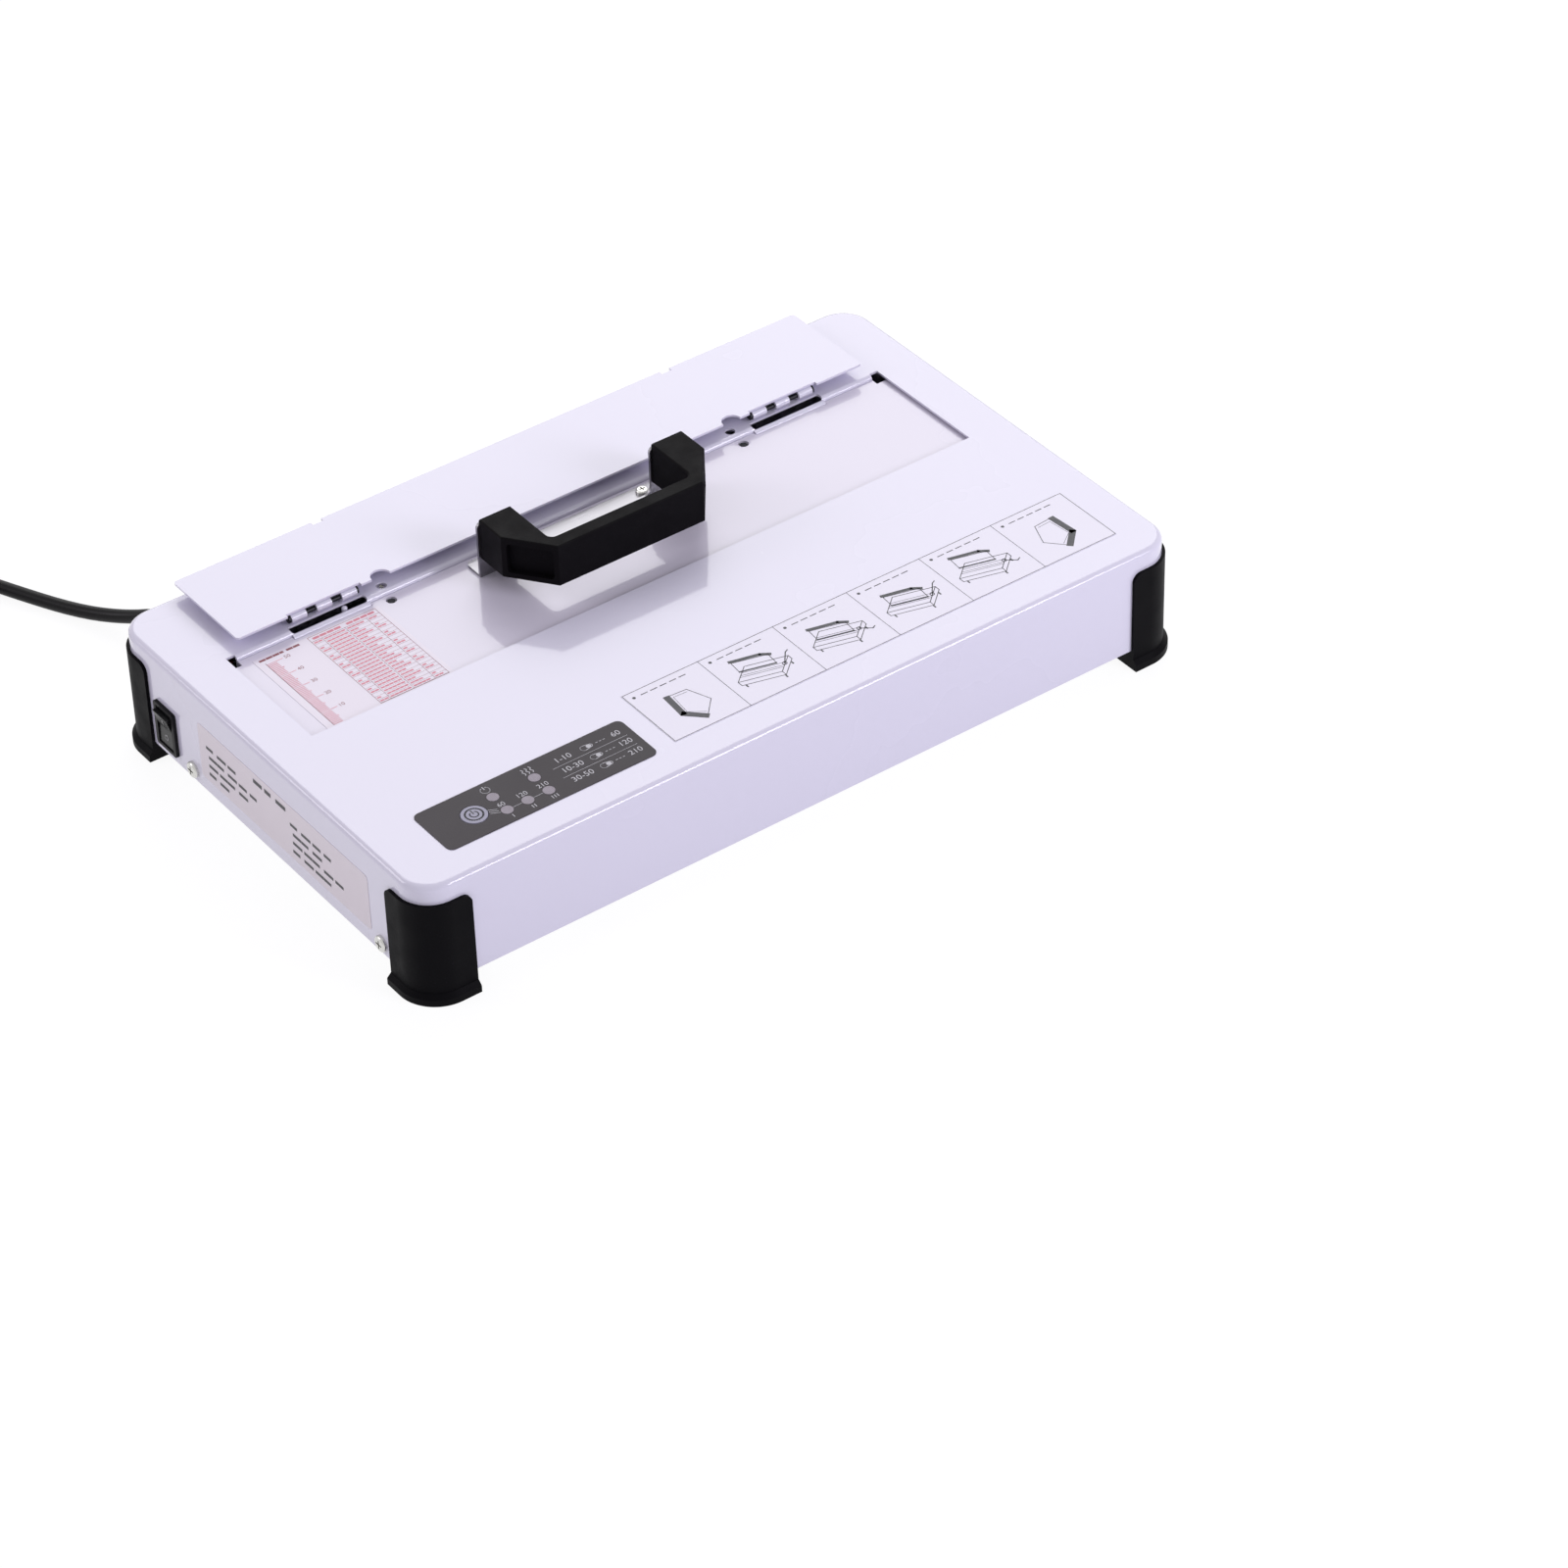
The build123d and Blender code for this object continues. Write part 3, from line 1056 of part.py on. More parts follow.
def handle():
    """Black bridge handle: two legs and a grip, with chamfered front corners."""
    leg_end = BRACKET_FRONT
    inner_front = HANDLE_FRONT + HANDLE_GRIP
    outline = Polyline(
        (-HANDLE_HALF_LENGTH, leg_end), (-HANDLE_HALF_LENGTH, HANDLE_CORNER_Y),
        (-HANDLE_CORNER_X, HANDLE_FRONT), (HANDLE_CORNER_X, HANDLE_FRONT),
        (HANDLE_HALF_LENGTH, HANDLE_CORNER_Y), (HANDLE_HALF_LENGTH, leg_end),
        (HANDLE_LEG_INNER, leg_end), (HANDLE_LEG_INNER, inner_front),
        (-HANDLE_LEG_INNER, inner_front), (-HANDLE_LEG_INNER, leg_end),
        close=True,
    )
    face = make_face(outline)
    inner = [v for v in face.vertices() if abs(v.Y - inner_front) < TINY]
    face = fillet(inner, HANDLE_INNER_RADIUS)
    body = extrude(Pos(0, 0, HANDLE_BOTTOM) * face, HANDLE_TOP - HANDLE_BOTTOM)
    rim = body.edges().group_by(Axis.Z)[-1] + body.edges().group_by(Axis.Z)[0]
    away = rim.filter_by(lambda edge: edge.center().Y < leg_end - TINY)
    body = fillet(away, HANDLE_EDGE_RADIUS)
    for side in (-1, 1):
        body -= handle_pocket(side)
        screw_x = side * HANDLE_SCREW_X
        body -= along_y(M4_RADIUS, screw_x, leg_end - HANDLE_SCREW_BORE, leg_end + OVER, HANDLE_MIDDLE_Z)
    return body


def handle_pocket(side):
    """Shallow recess in one chamfered corner of the handle."""
    run_x = HANDLE_HALF_LENGTH - HANDLE_CORNER_X
    run_y = HANDLE_CORNER_Y - HANDLE_FRONT
    turn = math.degrees(math.atan2(run_y, run_x))
    middle_x = side * (HANDLE_HALF_LENGTH + HANDLE_CORNER_X) / 2
    middle_y = (HANDLE_CORNER_Y + HANDLE_FRONT) / 2
    pocket = Box(POCKET_LENGTH, 2 * POCKET_DEPTH, POCKET_HEIGHT)
    pocket = fillet(pocket.edges().filter_by(Axis.Y), POCKET_CORNER_RADIUS)
    return Pos(middle_x, middle_y, HANDLE_MIDDLE_Z) * Rot(0, 0, side * turn) * pocket


def handle_screws():
    """Screws through the lugs into the legs of the handle, from behind."""
    length = BRACKET_SHEET + HANDLE_SCREW_BITE
    screw = Rot(-90, 0, 0) * pan_screw(M4_HEAD_RADIUS, M4_HEAD_HEIGHT, M4_RADIUS, length)
    back = BRACKET_FRONT + BRACKET_SHEET
    return [Pos(side * HANDLE_SCREW_X, back, HANDLE_MIDDLE_Z) * screw for side in (-1, 1)]


# Document rest and hinges

def document_flap():
    """Sheet that lies over the back of the deck and folds up as a document rest."""
    half = FLAP_HALF_LENGTH
    top = FLAP_UNDERSIDE + FLAP_SHEET
    flap = block(-half, half, FLAP_FRONT, FLAP_BACK, FLAP_UNDERSIDE, top)
    flap = fillet(flap.edges().filter_by(Axis.Z), FLAP_CORNER_RADIUS)
    for side in (-1, 1):
        inner = SLOT_CENTRE_X - FLAP_RECESS_LENGTH / 2
        outer = SLOT_CENTRE_X + FLAP_RECESS_LENGTH / 2
        recess_back = FLAP_FRONT + FLAP_RECESS_DEPTH
        flap -= sided(side, inner, outer, FLAP_FRONT - OVER, recess_back, FLAP_UNDERSIDE - OVER, top + OVER)
        notch_x = side * FLAP_NOTCH_X
        flap -= upright(FLAP_NOTCH_RADIUS, notch_x, FLAP_FRONT, FLAP_UNDERSIDE - OVER, top + OVER)
        half_notch = FLAP_REAR_NOTCH_WIDTH / 2
        flap -= block(
            notch_x - half_notch, notch_x + half_notch,
            FLAP_BACK - FLAP_REAR_NOTCH_DEPTH, FLAP_BACK + OVER, FLAP_UNDERSIDE - OVER, top + OVER,
        )
    for x, y in rivet_places():
        flap -= upright(RIVET_RADIUS, x, y, FLAP_UNDERSIDE - OVER, top + OVER)
    return flap


def hinge_leaf(side, knuckles, sheet_bottom):
    """One leaf: a strip behind the axis, with curled knuckles at the given places."""
    middle = side * SLOT_CENTRE_X
    half = LEAF_LENGTH / 2
    sheet_top = sheet_bottom + LEAF_SHEET
    leaf = block(middle - half, middle + half, LEAF_FRONT, LEAF_BACK, sheet_bottom, sheet_top)
    for knuckle in knuckles:
        x = middle + knuckle
        x0 = x - KNUCKLE_WIDTH / 2
        x1 = x + KNUCKLE_WIDTH / 2
        leaf += block(x0, x1, HINGE_AXIS_Y, LEAF_FRONT, sheet_bottom, sheet_top)
        leaf += along_x(KNUCKLE_RADIUS, x0, x1, HINGE_AXIS_Y, HINGE_AXIS_Z)
        bore_radius = HINGE_PIN_RADIUS + SHAFT_CLEARANCE
        leaf -= along_x(bore_radius, x0 - OVER, x1 + OVER, HINGE_AXIS_Y, HINGE_AXIS_Z)
    for x, y in rivet_places():
        leaf -= upright(RIVET_RADIUS, x, y, sheet_bottom - OVER, sheet_top + OVER)
    return leaf


def hinge_fixed_leaves():
    """Leaves on the deck, each with the middle knuckle."""
    return [hinge_leaf(side, (0,), DECK_TOP) for side in (-1, 1)]


def hinge_moving_leaves():
    """Leaves under the flap, each with the two outer knuckles."""
    bottom = FLAP_UNDERSIDE - LEAF_SHEET
    return [hinge_leaf(side, (-KNUCKLE_PITCH, KNUCKLE_PITCH), bottom) for side in (-1, 1)]


def hinge_pins():
    """Headed pins through the knuckles."""
    pins = []
    reach = KNUCKLE_PITCH + KNUCKLE_WIDTH / 2
    for side in (-1, 1):
        middle = side * SLOT_CENTRE_X
        far = reach + HINGE_PIN_OVERHANG
        pin = along_x(HINGE_PIN_RADIUS, middle - far, middle + far, HINGE_AXIS_Y, HINGE_AXIS_Z)
        for end in (-1, 1):
            inner = middle + end * (reach + RUNNING_GAP)
            outer = middle + end * (reach + RUNNING_GAP + HINGE_PIN_HEAD)
            pin += along_x(HINGE_PIN_HEAD_RADIUS, inner, outer, HINGE_AXIS_Y, HINGE_AXIS_Z)
        pins.append(pin)
    return pins


def hinge_rivets():
    """Rivets that hold the fixed leaves on the deck."""
    shape = rivet(DECK_TOP + LEAF_SHEET, LEAF_SHEET + SHEET)
    return [Pos(x, y, 0) * shape for x, y in rivet_places()]


def flap_rivets():
    """Rivets that hold the moving leaves, headed below them and flush with the flap."""
    shape = Rot(180, 0, 0) * rivet(0, LEAF_SHEET + FLAP_SHEET)
    return [Pos(x, y, FLAP_UNDERSIDE - LEAF_SHEET) * shape for x, y in rivet_places()]


def flap_bumpers():
    """Round bumpers on the deck that the flap rests on."""
    pads = []
    for side in (-1, 1):
        pad = upright(BUMPER_RADIUS, side * BUMPER_X, BUMPER_Y, DECK_TOP, FLAP_UNDERSIDE - REST_GAP)
        pads.append(fillet(pad.edges().group_by(Axis.Z)[-1], BUMPER_EDGE_RADIUS))
    return pads


# Films

def holes_for_controls(thickness):
    """Holes for the lamps and the key through a film on the deck."""
    below = DECK_TOP - OVER
    above = DECK_TOP + thickness + OVER
    cutters = [upright(LAMP_RADIUS + SCREW_CLEARANCE, x, y, below, above) for x, y in lamp_places()]
    return cutters + [upright(KEY_RADIUS + RUNNING_GAP, KEY_X, KEY_Y, below, above)]


def control_overlay():
    """Grey film round the key and the lamps."""
    outline = RectangleRounded(OVERLAY_LENGTH, OVERLAY_DEPTH, OVERLAY_RADIUS)
    film = Pos(OVERLAY_CENTRE_X, OVERLAY_CENTRE_Y, DECK_TOP) * extrude(outline, OVERLAY_THICKNESS)
    for cutter in holes_for_controls(OVERLAY_THICKNESS):
        film -= cutter
    return film


def instruction_strip():
    """White film with six pictures along the front of the deck."""
    return block(STRIP_LEFT, STRIP_RIGHT, STRIP_FRONT, STRIP_BACK, DECK_TOP, DECK_TOP + FILM_THICKNESS)


def panel_chart():
    """Film with the ruler and the time chart, on the sliding panel."""
    return block(CHART_LEFT, CHART_RIGHT, CHART_FRONT, CHART_BACK, PANEL_TOP, PANEL_TOP + FILM_THICKNESS)


def rating_sticker():
    """Bare sticker on the left wall."""
    middle_y = (RATING_FRONT + RATING_BACK) / 2
    middle_z = (RATING_BOTTOM + RATING_TOP) / 2
    outline = RectangleRounded(RATING_BACK - RATING_FRONT, RATING_TOP - RATING_BOTTOM, RATING_RADIUS)
    film = extrude(outline, FILM_THICKNESS)
    return Plane(origin=(-HALF_LENGTH, middle_y, middle_z), x_dir=(0, 1, 0), z_dir=(-1, 0, 0)) * film


# Controls

def power_key():
    """Round key held under the deck by its flange, with a stem down to its switch."""
    top = DECK_TOP + OVERLAY_THICKNESS + KEY_PROUD
    flange_top = DECK_UNDERSIDE - RUNNING_GAP
    flange_bottom = flange_top - KEY_FLANGE_THICKNESS
    stem_end = BOARD_TOP + KEY_SWITCH_BODY + KEY_SWITCH_PLUNGER + KEY_TRAVEL + KEY_GAP
    cap = upright(KEY_RADIUS, KEY_X, KEY_Y, flange_bottom, top)
    cap = fillet(cap.edges().group_by(Axis.Z)[-1], KEY_EDGE_RADIUS)
    cap += upright(KEY_FLANGE_RADIUS, KEY_X, KEY_Y, flange_bottom, flange_top)
    return cap + upright(KEY_STEM_RADIUS, KEY_X, KEY_Y, stem_end, flange_bottom)


def key_switch():
    """Small push switch on the board under the key."""
    half = KEY_SWITCH_SIZE / 2
    top = BOARD_TOP + KEY_SWITCH_BODY
    body = block(KEY_X - half, KEY_X + half, KEY_Y - half, KEY_Y + half, BOARD_TOP, top)
    return body + upright(KEY_SWITCH_PLUNGER_RADIUS, KEY_X, KEY_Y, top, top + KEY_SWITCH_PLUNGER)


def indicator_lamps():
    """Five lamps from the board up through the deck and the film."""
    lamps = []
    top = DECK_TOP + OVERLAY_THICKNESS + LAMP_PROUD
    for x, y in lamp_places():
        lamp = upright(LAMP_RADIUS, x, y, BOARD_TOP, top)
        lamp += upright(LAMP_FLANGE_RADIUS, x, y, BOARD_TOP, BOARD_TOP + LAMP_FLANGE)
        lamps.append(lamp)
    return lamps


def pillar_places():
    """Centres of the four pillars that hang the board under the deck."""
    xs = (BOARD_LEFT + PILLAR_INSET, BOARD_RIGHT - PILLAR_INSET)
    ys = (BOARD_FRONT + PILLAR_INSET, BOARD_BACK - PILLAR_INSET)
    return [(x, y) for x in xs for y in ys]


def control_board():
    """Circuit board that hangs under the overlay."""
    board = block(BOARD_LEFT, BOARD_RIGHT, BOARD_FRONT, BOARD_BACK, BOARD_BOTTOM, BOARD_TOP)
    for x, y in pillar_places():
        board -= upright(PILLAR_PIN_RADIUS + SCREW_CLEARANCE, x, y, BOARD_BOTTOM - OVER, BOARD_TOP + OVER)
    return board


def board_pillars():
    """Snap-in pillars between the deck and the board."""
    pillars = []
    for x, y in pillar_places():
        pillar = upright(PILLAR_RADIUS, x, y, BOARD_TOP, DECK_UNDERSIDE)
        pillar += upright(PILLAR_PAD_RADIUS, x, y, DECK_UNDERSIDE - PILLAR_PAD, DECK_UNDERSIDE)
        pillar += upright(PILLAR_PIN_RADIUS, x, y, BOARD_BOTTOM, BOARD_TOP)
        pillar += upright(PILLAR_SNAP_RADIUS, x, y, BOARD_BOTTOM - PILLAR_SNAP, BOARD_BOTTOM)
        pillars.append(pillar)
    return pillars


def hung_box(x, y, length, width, height):
    """Box under the board."""
    return Pos(x, y, BOARD_BOTTOM - height / 2) * Box(length, width, height)


def relay():
    """Relay that switches the heater."""
    body = hung_box(RELAY_X, BOARD_PART_Y, RELAY_LENGTH, RELAY_WIDTH, RELAY_HEIGHT)
    return fillet(body.edges().filter_by(Axis.Z), RELAY_EDGE_RADIUS)


def buzzer():
    """Round buzzer that tells the end of the heating time."""
    bottom = BOARD_BOTTOM - BUZZER_HEIGHT
    body = upright(BUZZER_RADIUS, BUZZER_X, BOARD_PART_Y, bottom, BOARD_BOTTOM)
    return body - upright(BUZZER_HOLE_RADIUS, BUZZER_X, BOARD_PART_Y, bottom - OVER, bottom + OVER)


def board_connectors():
    """Plug-in connectors under the board."""
    xs = (CONNECTOR_LEFT_X, CONNECTOR_RIGHT_X)
    size = (CONNECTOR_LENGTH, CONNECTOR_WIDTH, CONNECTOR_HEIGHT)
    return [hung_box(x, BOARD_PART_Y, *size) for x in xs]


# Rocker switch

def switch_pivot_x():
    """Distance of the paddle's axis from the middle, inside the left wall."""
    return -(HALF_LENGTH - PADDLE_PIVOT_INSET)


def switch_body():
    """Bezel on the wall and body behind it, hollow for the paddle."""
    outer = -HALF_LENGTH - BEZEL_THICKNESS
    bezel = switch_block(outer, -HALF_LENGTH, BEZEL_WIDTH / 2, BEZEL_HEIGHT / 2)
    bezel = fillet(bezel.edges().filter_by(Axis.X), BEZEL_CORNER_RADIUS)
    inner = -HALF_LENGTH + SWITCH_BODY_DEPTH
    body = switch_block(-HALF_LENGTH, inner, SWITCH_BODY_WIDTH / 2, SWITCH_BODY_HEIGHT / 2)
    half_width = PADDLE_HALF_WIDTH + RUNNING_GAP
    cavity_back = outer + PADDLE_CAVITY_DEPTH
    cavity = switch_block(outer - OVER, cavity_back, half_width, PADDLE_CAVITY_HALF_HEIGHT)
    reach = half_width + PADDLE_PIN_REACH
    bore_radius = PADDLE_PIN_RADIUS + SHAFT_CLEARANCE
    bore = along_y(bore_radius, switch_pivot_x(), SWITCH_Y - reach, SWITCH_Y + reach, SWITCH_Z)
    return bezel + body - cavity - bore


def rocker():
    """Dished paddle on its two pivot pins, tilted with its upper end out."""
    outline = Polyline(
        (PADDLE_PROUD, -PADDLE_HALF_HEIGHT), (PADDLE_PROUD - PADDLE_DISH, 0),
        (PADDLE_PROUD, PADDLE_HALF_HEIGHT), (0, PADDLE_HALF_HEIGHT),
        (-PADDLE_BACK, PADDLE_ROOT), (-PADDLE_BACK, -PADDLE_ROOT), (0, -PADDLE_HALF_HEIGHT),
        close=True,
    )
    paddle = extrude(make_face(outline), PADDLE_HALF_WIDTH, both=True)
    reach = PADDLE_HALF_WIDTH + RUNNING_GAP + PADDLE_PIN_REACH - PADDLE_PIN_GAP
    paddle += Cylinder(PADDLE_PIN_RADIUS, 2 * reach)
    outward = Plane(origin=(0, 0, 0), x_dir=(-1, 0, 0), z_dir=(0, 1, 0))
    paddle = outward * paddle
    return Pos(switch_pivot_x(), SWITCH_Y, SWITCH_Z) * Rot(0, -PADDLE_TILT, 0) * paddle


def switch_terminals():
    """Two flat tabs behind the switch."""
    inner = -HALF_LENGTH + SWITCH_BODY_DEPTH
    front = SWITCH_Y - BLADE_WIDTH / 2
    back = SWITCH_Y + BLADE_WIDTH / 2
    tabs = []
    for dz in (-BLADE_SPACING / 2, BLADE_SPACING / 2):
        z = SWITCH_Z + dz
        tabs.append(block(inner, inner + BLADE_LENGTH, front, back, z, z + BLADE_THICKNESS))
    return tabs


# Mains entry and inner wiring

def strain_relief():
    """Gland in the back wall: collars each side of it and a tapered sleeve outside."""
    inside = HALF_DEPTH - SHEET
    flange_end = HALF_DEPTH + GLAND_COLLAR
    sleeve_end = flange_end + GLAND_SLEEVE_LENGTH
    gland = along_y(GLAND_COLLAR_RADIUS, ENTRY_X, inside - GLAND_COLLAR, inside, ENTRY_Z)
    gland += along_y(GLAND_NECK_RADIUS, ENTRY_X, inside, HALF_DEPTH, ENTRY_Z)
    gland += along_y(GLAND_COLLAR_RADIUS, ENTRY_X, HALF_DEPTH, flange_end, ENTRY_Z)
    sleeve = Cone(GLAND_SLEEVE_ROOT, GLAND_SLEEVE_TIP, GLAND_SLEEVE_LENGTH)
    return gland + Pos(ENTRY_X, (flange_end + sleeve_end) / 2, ENTRY_Z) * Rot(-90, 0, 0) * sleeve


def terminal_block():
    """Three-way terminal block on the base in front of the mains entry."""
    left = ENTRY_X - TERMINAL_LENGTH / 2
    front = TERMINAL_BACK - TERMINAL_WIDTH
    top = BASE_TOP + TERMINAL_HEIGHT
    body = block(left, left + TERMINAL_LENGTH, front, TERMINAL_BACK, BASE_TOP, top)
    pitch = TERMINAL_LENGTH / TERMINAL_SCREWS
    middle_y = front + TERMINAL_WIDTH / 2
    for number in range(TERMINAL_SCREWS):
        x = left + pitch * (number + 0.5)
        body -= upright(TERMINAL_SCREW_RADIUS, x, middle_y, top - TERMINAL_SCREW_DEPTH, top + OVER)
    return body


def wire(points, radius):
    """Insulated wire along straight runs with small bends."""
    path = FilletPolyline(*points, radius=WIRE_BEND) if len(points) > 2 else Line(*points)
    section = Plane(origin=path @ 0, z_dir=path % 0) * Circle(radius)
    return sweep(section, path=path)


def inner_wiring():
    """Cores from the entry to the terminal block, the switch, the board and the heater."""
    gland_end = HALF_DEPTH - SHEET - GLAND_COLLAR
    front = TERMINAL_BACK - TERMINAL_WIDTH
    wires = []
    for step in (-1, 0, 1):
        x = ENTRY_X + step * CORE_SPACING
        wires.append(wire([(x, gland_end, ENTRY_Z), (x, TERMINAL_BACK, ENTRY_Z)], CORE_RADIUS))
    tab_end = -HALF_LENGTH + SWITCH_BODY_DEPTH + BLADE_LENGTH
    for dz, x in ((-BLADE_SPACING / 2, ENTRY_X - WIRE_SPREAD), (BLADE_SPACING / 2, ENTRY_X)):
        z = SWITCH_Z + dz + BLADE_THICKNESS / 2
        points = [(x, front, WIRE_FLOOR), (x, SWITCH_Y, WIRE_FLOOR), (x, SWITCH_Y, z), (tab_end, SWITCH_Y, z)]
        wires.append(wire(points, LEAD_RADIUS))
    connector_end = BOARD_BOTTOM - CONNECTOR_HEIGHT
    feed_x = ENTRY_X + WIRE_SPREAD
    wires.append(wire([
        (feed_x, front, WIRE_FLOOR), (feed_x, WIRE_SIDE_Y, WIRE_FLOOR),
        (WIRE_SIDE_X, WIRE_SIDE_Y, WIRE_FLOOR), (WIRE_SIDE_X, WIRE_FRONT_Y, WIRE_FLOOR),
        (CONNECTOR_LEFT_X, WIRE_FRONT_Y, WIRE_FLOOR), (CONNECTOR_LEFT_X, WIRE_FRONT_Y, connector_end),
    ], CORE_RADIUS))
    mat_z = (MAT_BOTTOM + BAR_BOTTOM) / 2
    rise_y = BAR_FRONT - HEATER_WIRE_GAP
    for dx in (-HEATER_WIRE_SPREAD, HEATER_WIRE_SPREAD):
        x = CONNECTOR_RIGHT_X + dx
        wires.append(wire([
            (x, WIRE_FRONT_Y, connector_end), (x, WIRE_FRONT_Y, WIRE_FLOOR),
            (x, rise_y - HEATER_WIRE_RAMP, WIRE_FLOOR), (x, rise_y, mat_z),
            (x, BAR_FRONT + MAT_MARGIN, mat_z),
        ], LEAD_RADIUS))
    return wires


# Mains cord

def heading(angle):
    """Level unit vector at an angle from +X."""
    return Vector(math.cos(math.radians(angle)), math.sin(math.radians(angle)), 0)


def cord_path(name, points):
    """Straight runs joined by arcs as large as the runs allow; prints the radii."""
    runs = [b - a for a, b in zip(points, points[1:])]
    radii = []
    for before, after in zip(runs, runs[1:]):
        half_turn = math.radians(before.get_angle(after)) / 2
        radii.append(0.45 * min(before.length, after.length) / math.tan(half_turn))
    print(name, "runs", [round(run.length, 1) for run in runs], "radii", [round(r, 1) for r in radii])
    return FilletPolyline(*points, radius=radii)


def cord_tube(name, points):
    """Cord of its full thickness along a path; prints its volume against section times length."""
    path = cord_path(name, points)
    section = Plane(origin=path @ 0, z_dir=path % 0) * Circle(CORD_RADIUS)
    tube = sweep(section, path=path)
    expected = math.pi * CORD_RADIUS ** 2 * path.length
    print(name, "length", round(path.length, 1), "volume ratio", round(tube.volume / expected, 4))
    return tube


def coil_start():
    """Where the cord enters the coil, and its direction there."""
    return Vector(COIL_START_X, COIL_START_Y, COIL_LOW_Z), heading(COIL_START_HEADING)


def coil_centre():
    """Middle of the coil, to the left of the cord as it comes in."""
    start, ahead = coil_start()
    outer = COIL_INNER_RADIUS + COIL_PITCH * COIL_LOW_HALF_TURNS / 2
    left = Vector(-ahead.Y, ahead.X, 0)
    centre = start + left * outer
    return Vector(centre.X, centre.Y, 0)


def coil_station(half_turns, radius, z):
    """Point of the coil a number of half turns after its start."""
    start, ahead = coil_start()
    right = Vector(ahead.Y, -ahead.X, 0)
    side = 1 if half_turns % 2 == 0 else -1
    centre = coil_centre()
    place = centre + right * (side * radius)
    return Vector(place.X, place.Y, z), ahead * side


def half_loop(start, ahead, end):
    """Level half circle from start to end."""
    middle = (start + end) * 0.5 + ahead * ((end - start).length / 2)
    return ThreePointArc(start, middle, end)


def climbing_half_loop(start, ahead, end):
    """Half loop that climbs a layer, as two arcs that meet in line."""
    reach = (end - start).length / 2
    first = start + ahead * reach
    second = end + ahead * reach
    middle = (first + second) * 0.5
    slope = (second - first).normalized()
    return TangentArc(start, middle, tangent=ahead), TangentArc(middle, end, tangent=slope)


def coil_path():
    """Two layers of loops: in along the floor, up a layer at the inside, and out again."""
    edges = []
    start, ahead = coil_station(0, COIL_INNER_RADIUS + COIL_PITCH * COIL_LOW_HALF_TURNS / 2, COIL_LOW_Z)
    edges.append(Line(start - ahead * COIL_LEAD, start))
    place = start
    for number in range(COIL_LOW_HALF_TURNS):
        radius = COIL_INNER_RADIUS + COIL_PITCH * (COIL_LOW_HALF_TURNS - number - 1) / 2
        end, next_ahead = coil_station(number + 1, radius, COIL_LOW_Z)
        edges.append(half_loop(place, ahead, end))
        place, ahead = end, next_ahead
    turns = COIL_LOW_HALF_TURNS + 1
    high_z = COIL_LOW_Z + COIL_RISE
    end, next_ahead = coil_station(turns, COIL_INNER_RADIUS, high_z)
    edges.extend(climbing_half_loop(place, ahead, end))
    place, ahead = end, next_ahead
    for number in range(COIL_HIGH_HALF_TURNS):
        radius = COIL_INNER_RADIUS + COIL_PITCH * (number + 1) / 2
        end, next_ahead = coil_station(turns + number + 1, radius, high_z)
        edges.append(half_loop(place, ahead, end))
        place, ahead = end, next_ahead
    edges.append(Line(place, place + ahead * COIL_LEAD))
    return Wire([edge.edges()[0] for edge in edges])


def coil_exit():
    """End of the coil's last straight, and its direction."""
    radius = COIL_INNER_RADIUS + COIL_PITCH * COIL_HIGH_HALF_TURNS / 2
    half_turns = COIL_LOW_HALF_TURNS + 1 + COIL_HIGH_HALF_TURNS
    place, ahead = coil_station(half_turns, radius, COIL_LOW_Z + COIL_RISE)
    return place + ahead * COIL_LEAD, ahead


def least_gap(path, samples):
    """Smallest distance between two parts of the cord that aren't beside each other along it."""
    points = [path @ (number / samples) for number in range(samples + 1)]
    step = path.length / samples
    skip = int(COIL_INNER_RADIUS * 2 / step)
    closest = path.length
    for number, point in enumerate(points):
        for other in points[number + skip:]:
            closest = min(closest, (point - other).length)
    return closest - 2 * CORD_RADIUS


def cord_coil():
    """Cord left coiled, one unbroken tube."""
    path = coil_path()
    section = Plane(origin=path @ 0, z_dir=path % 0) * Circle(CORD_RADIUS)
    tube = sweep(section, path=path)
    print("cord_coil length", round(path.length, 1), "least gap", round(least_gap(path, GAP_SAMPLES), 2))
    return tube


def cord_run():
    """Cord from the gland down to the floor and across to the coil."""
    exit_y = HALF_DEPTH + GLAND_COLLAR + GLAND_SLEEVE_LENGTH
    start, ahead = coil_start()
    entry = start - ahead * COIL_LEAD
    points = [Vector(ENTRY_X, exit_y, ENTRY_Z)]
    points += [Vector(ENTRY_X - left, exit_y + behind, z) for left, behind, z in CORD_TURNS]
    points += [entry - ahead * CORD_LAST_RUN, entry]
    return cord_tube("cord_run", points)


def tail_points():
    """Route of the cord from the coil to the plug."""
    start, ahead = coil_exit()
    first = start + ahead * TAIL_FIRST_RUN
    second = first + heading(COIL_START_HEADING - TAIL_FIRST_TURN) * TAIL_SECOND_RUN
    second = Vector(second.X, second.Y, PLUG_Z)
    end = second + heading(COIL_START_HEADING - TAIL_SECOND_TURN) * TAIL_LAST_RUN
    return [start, first, second, end]


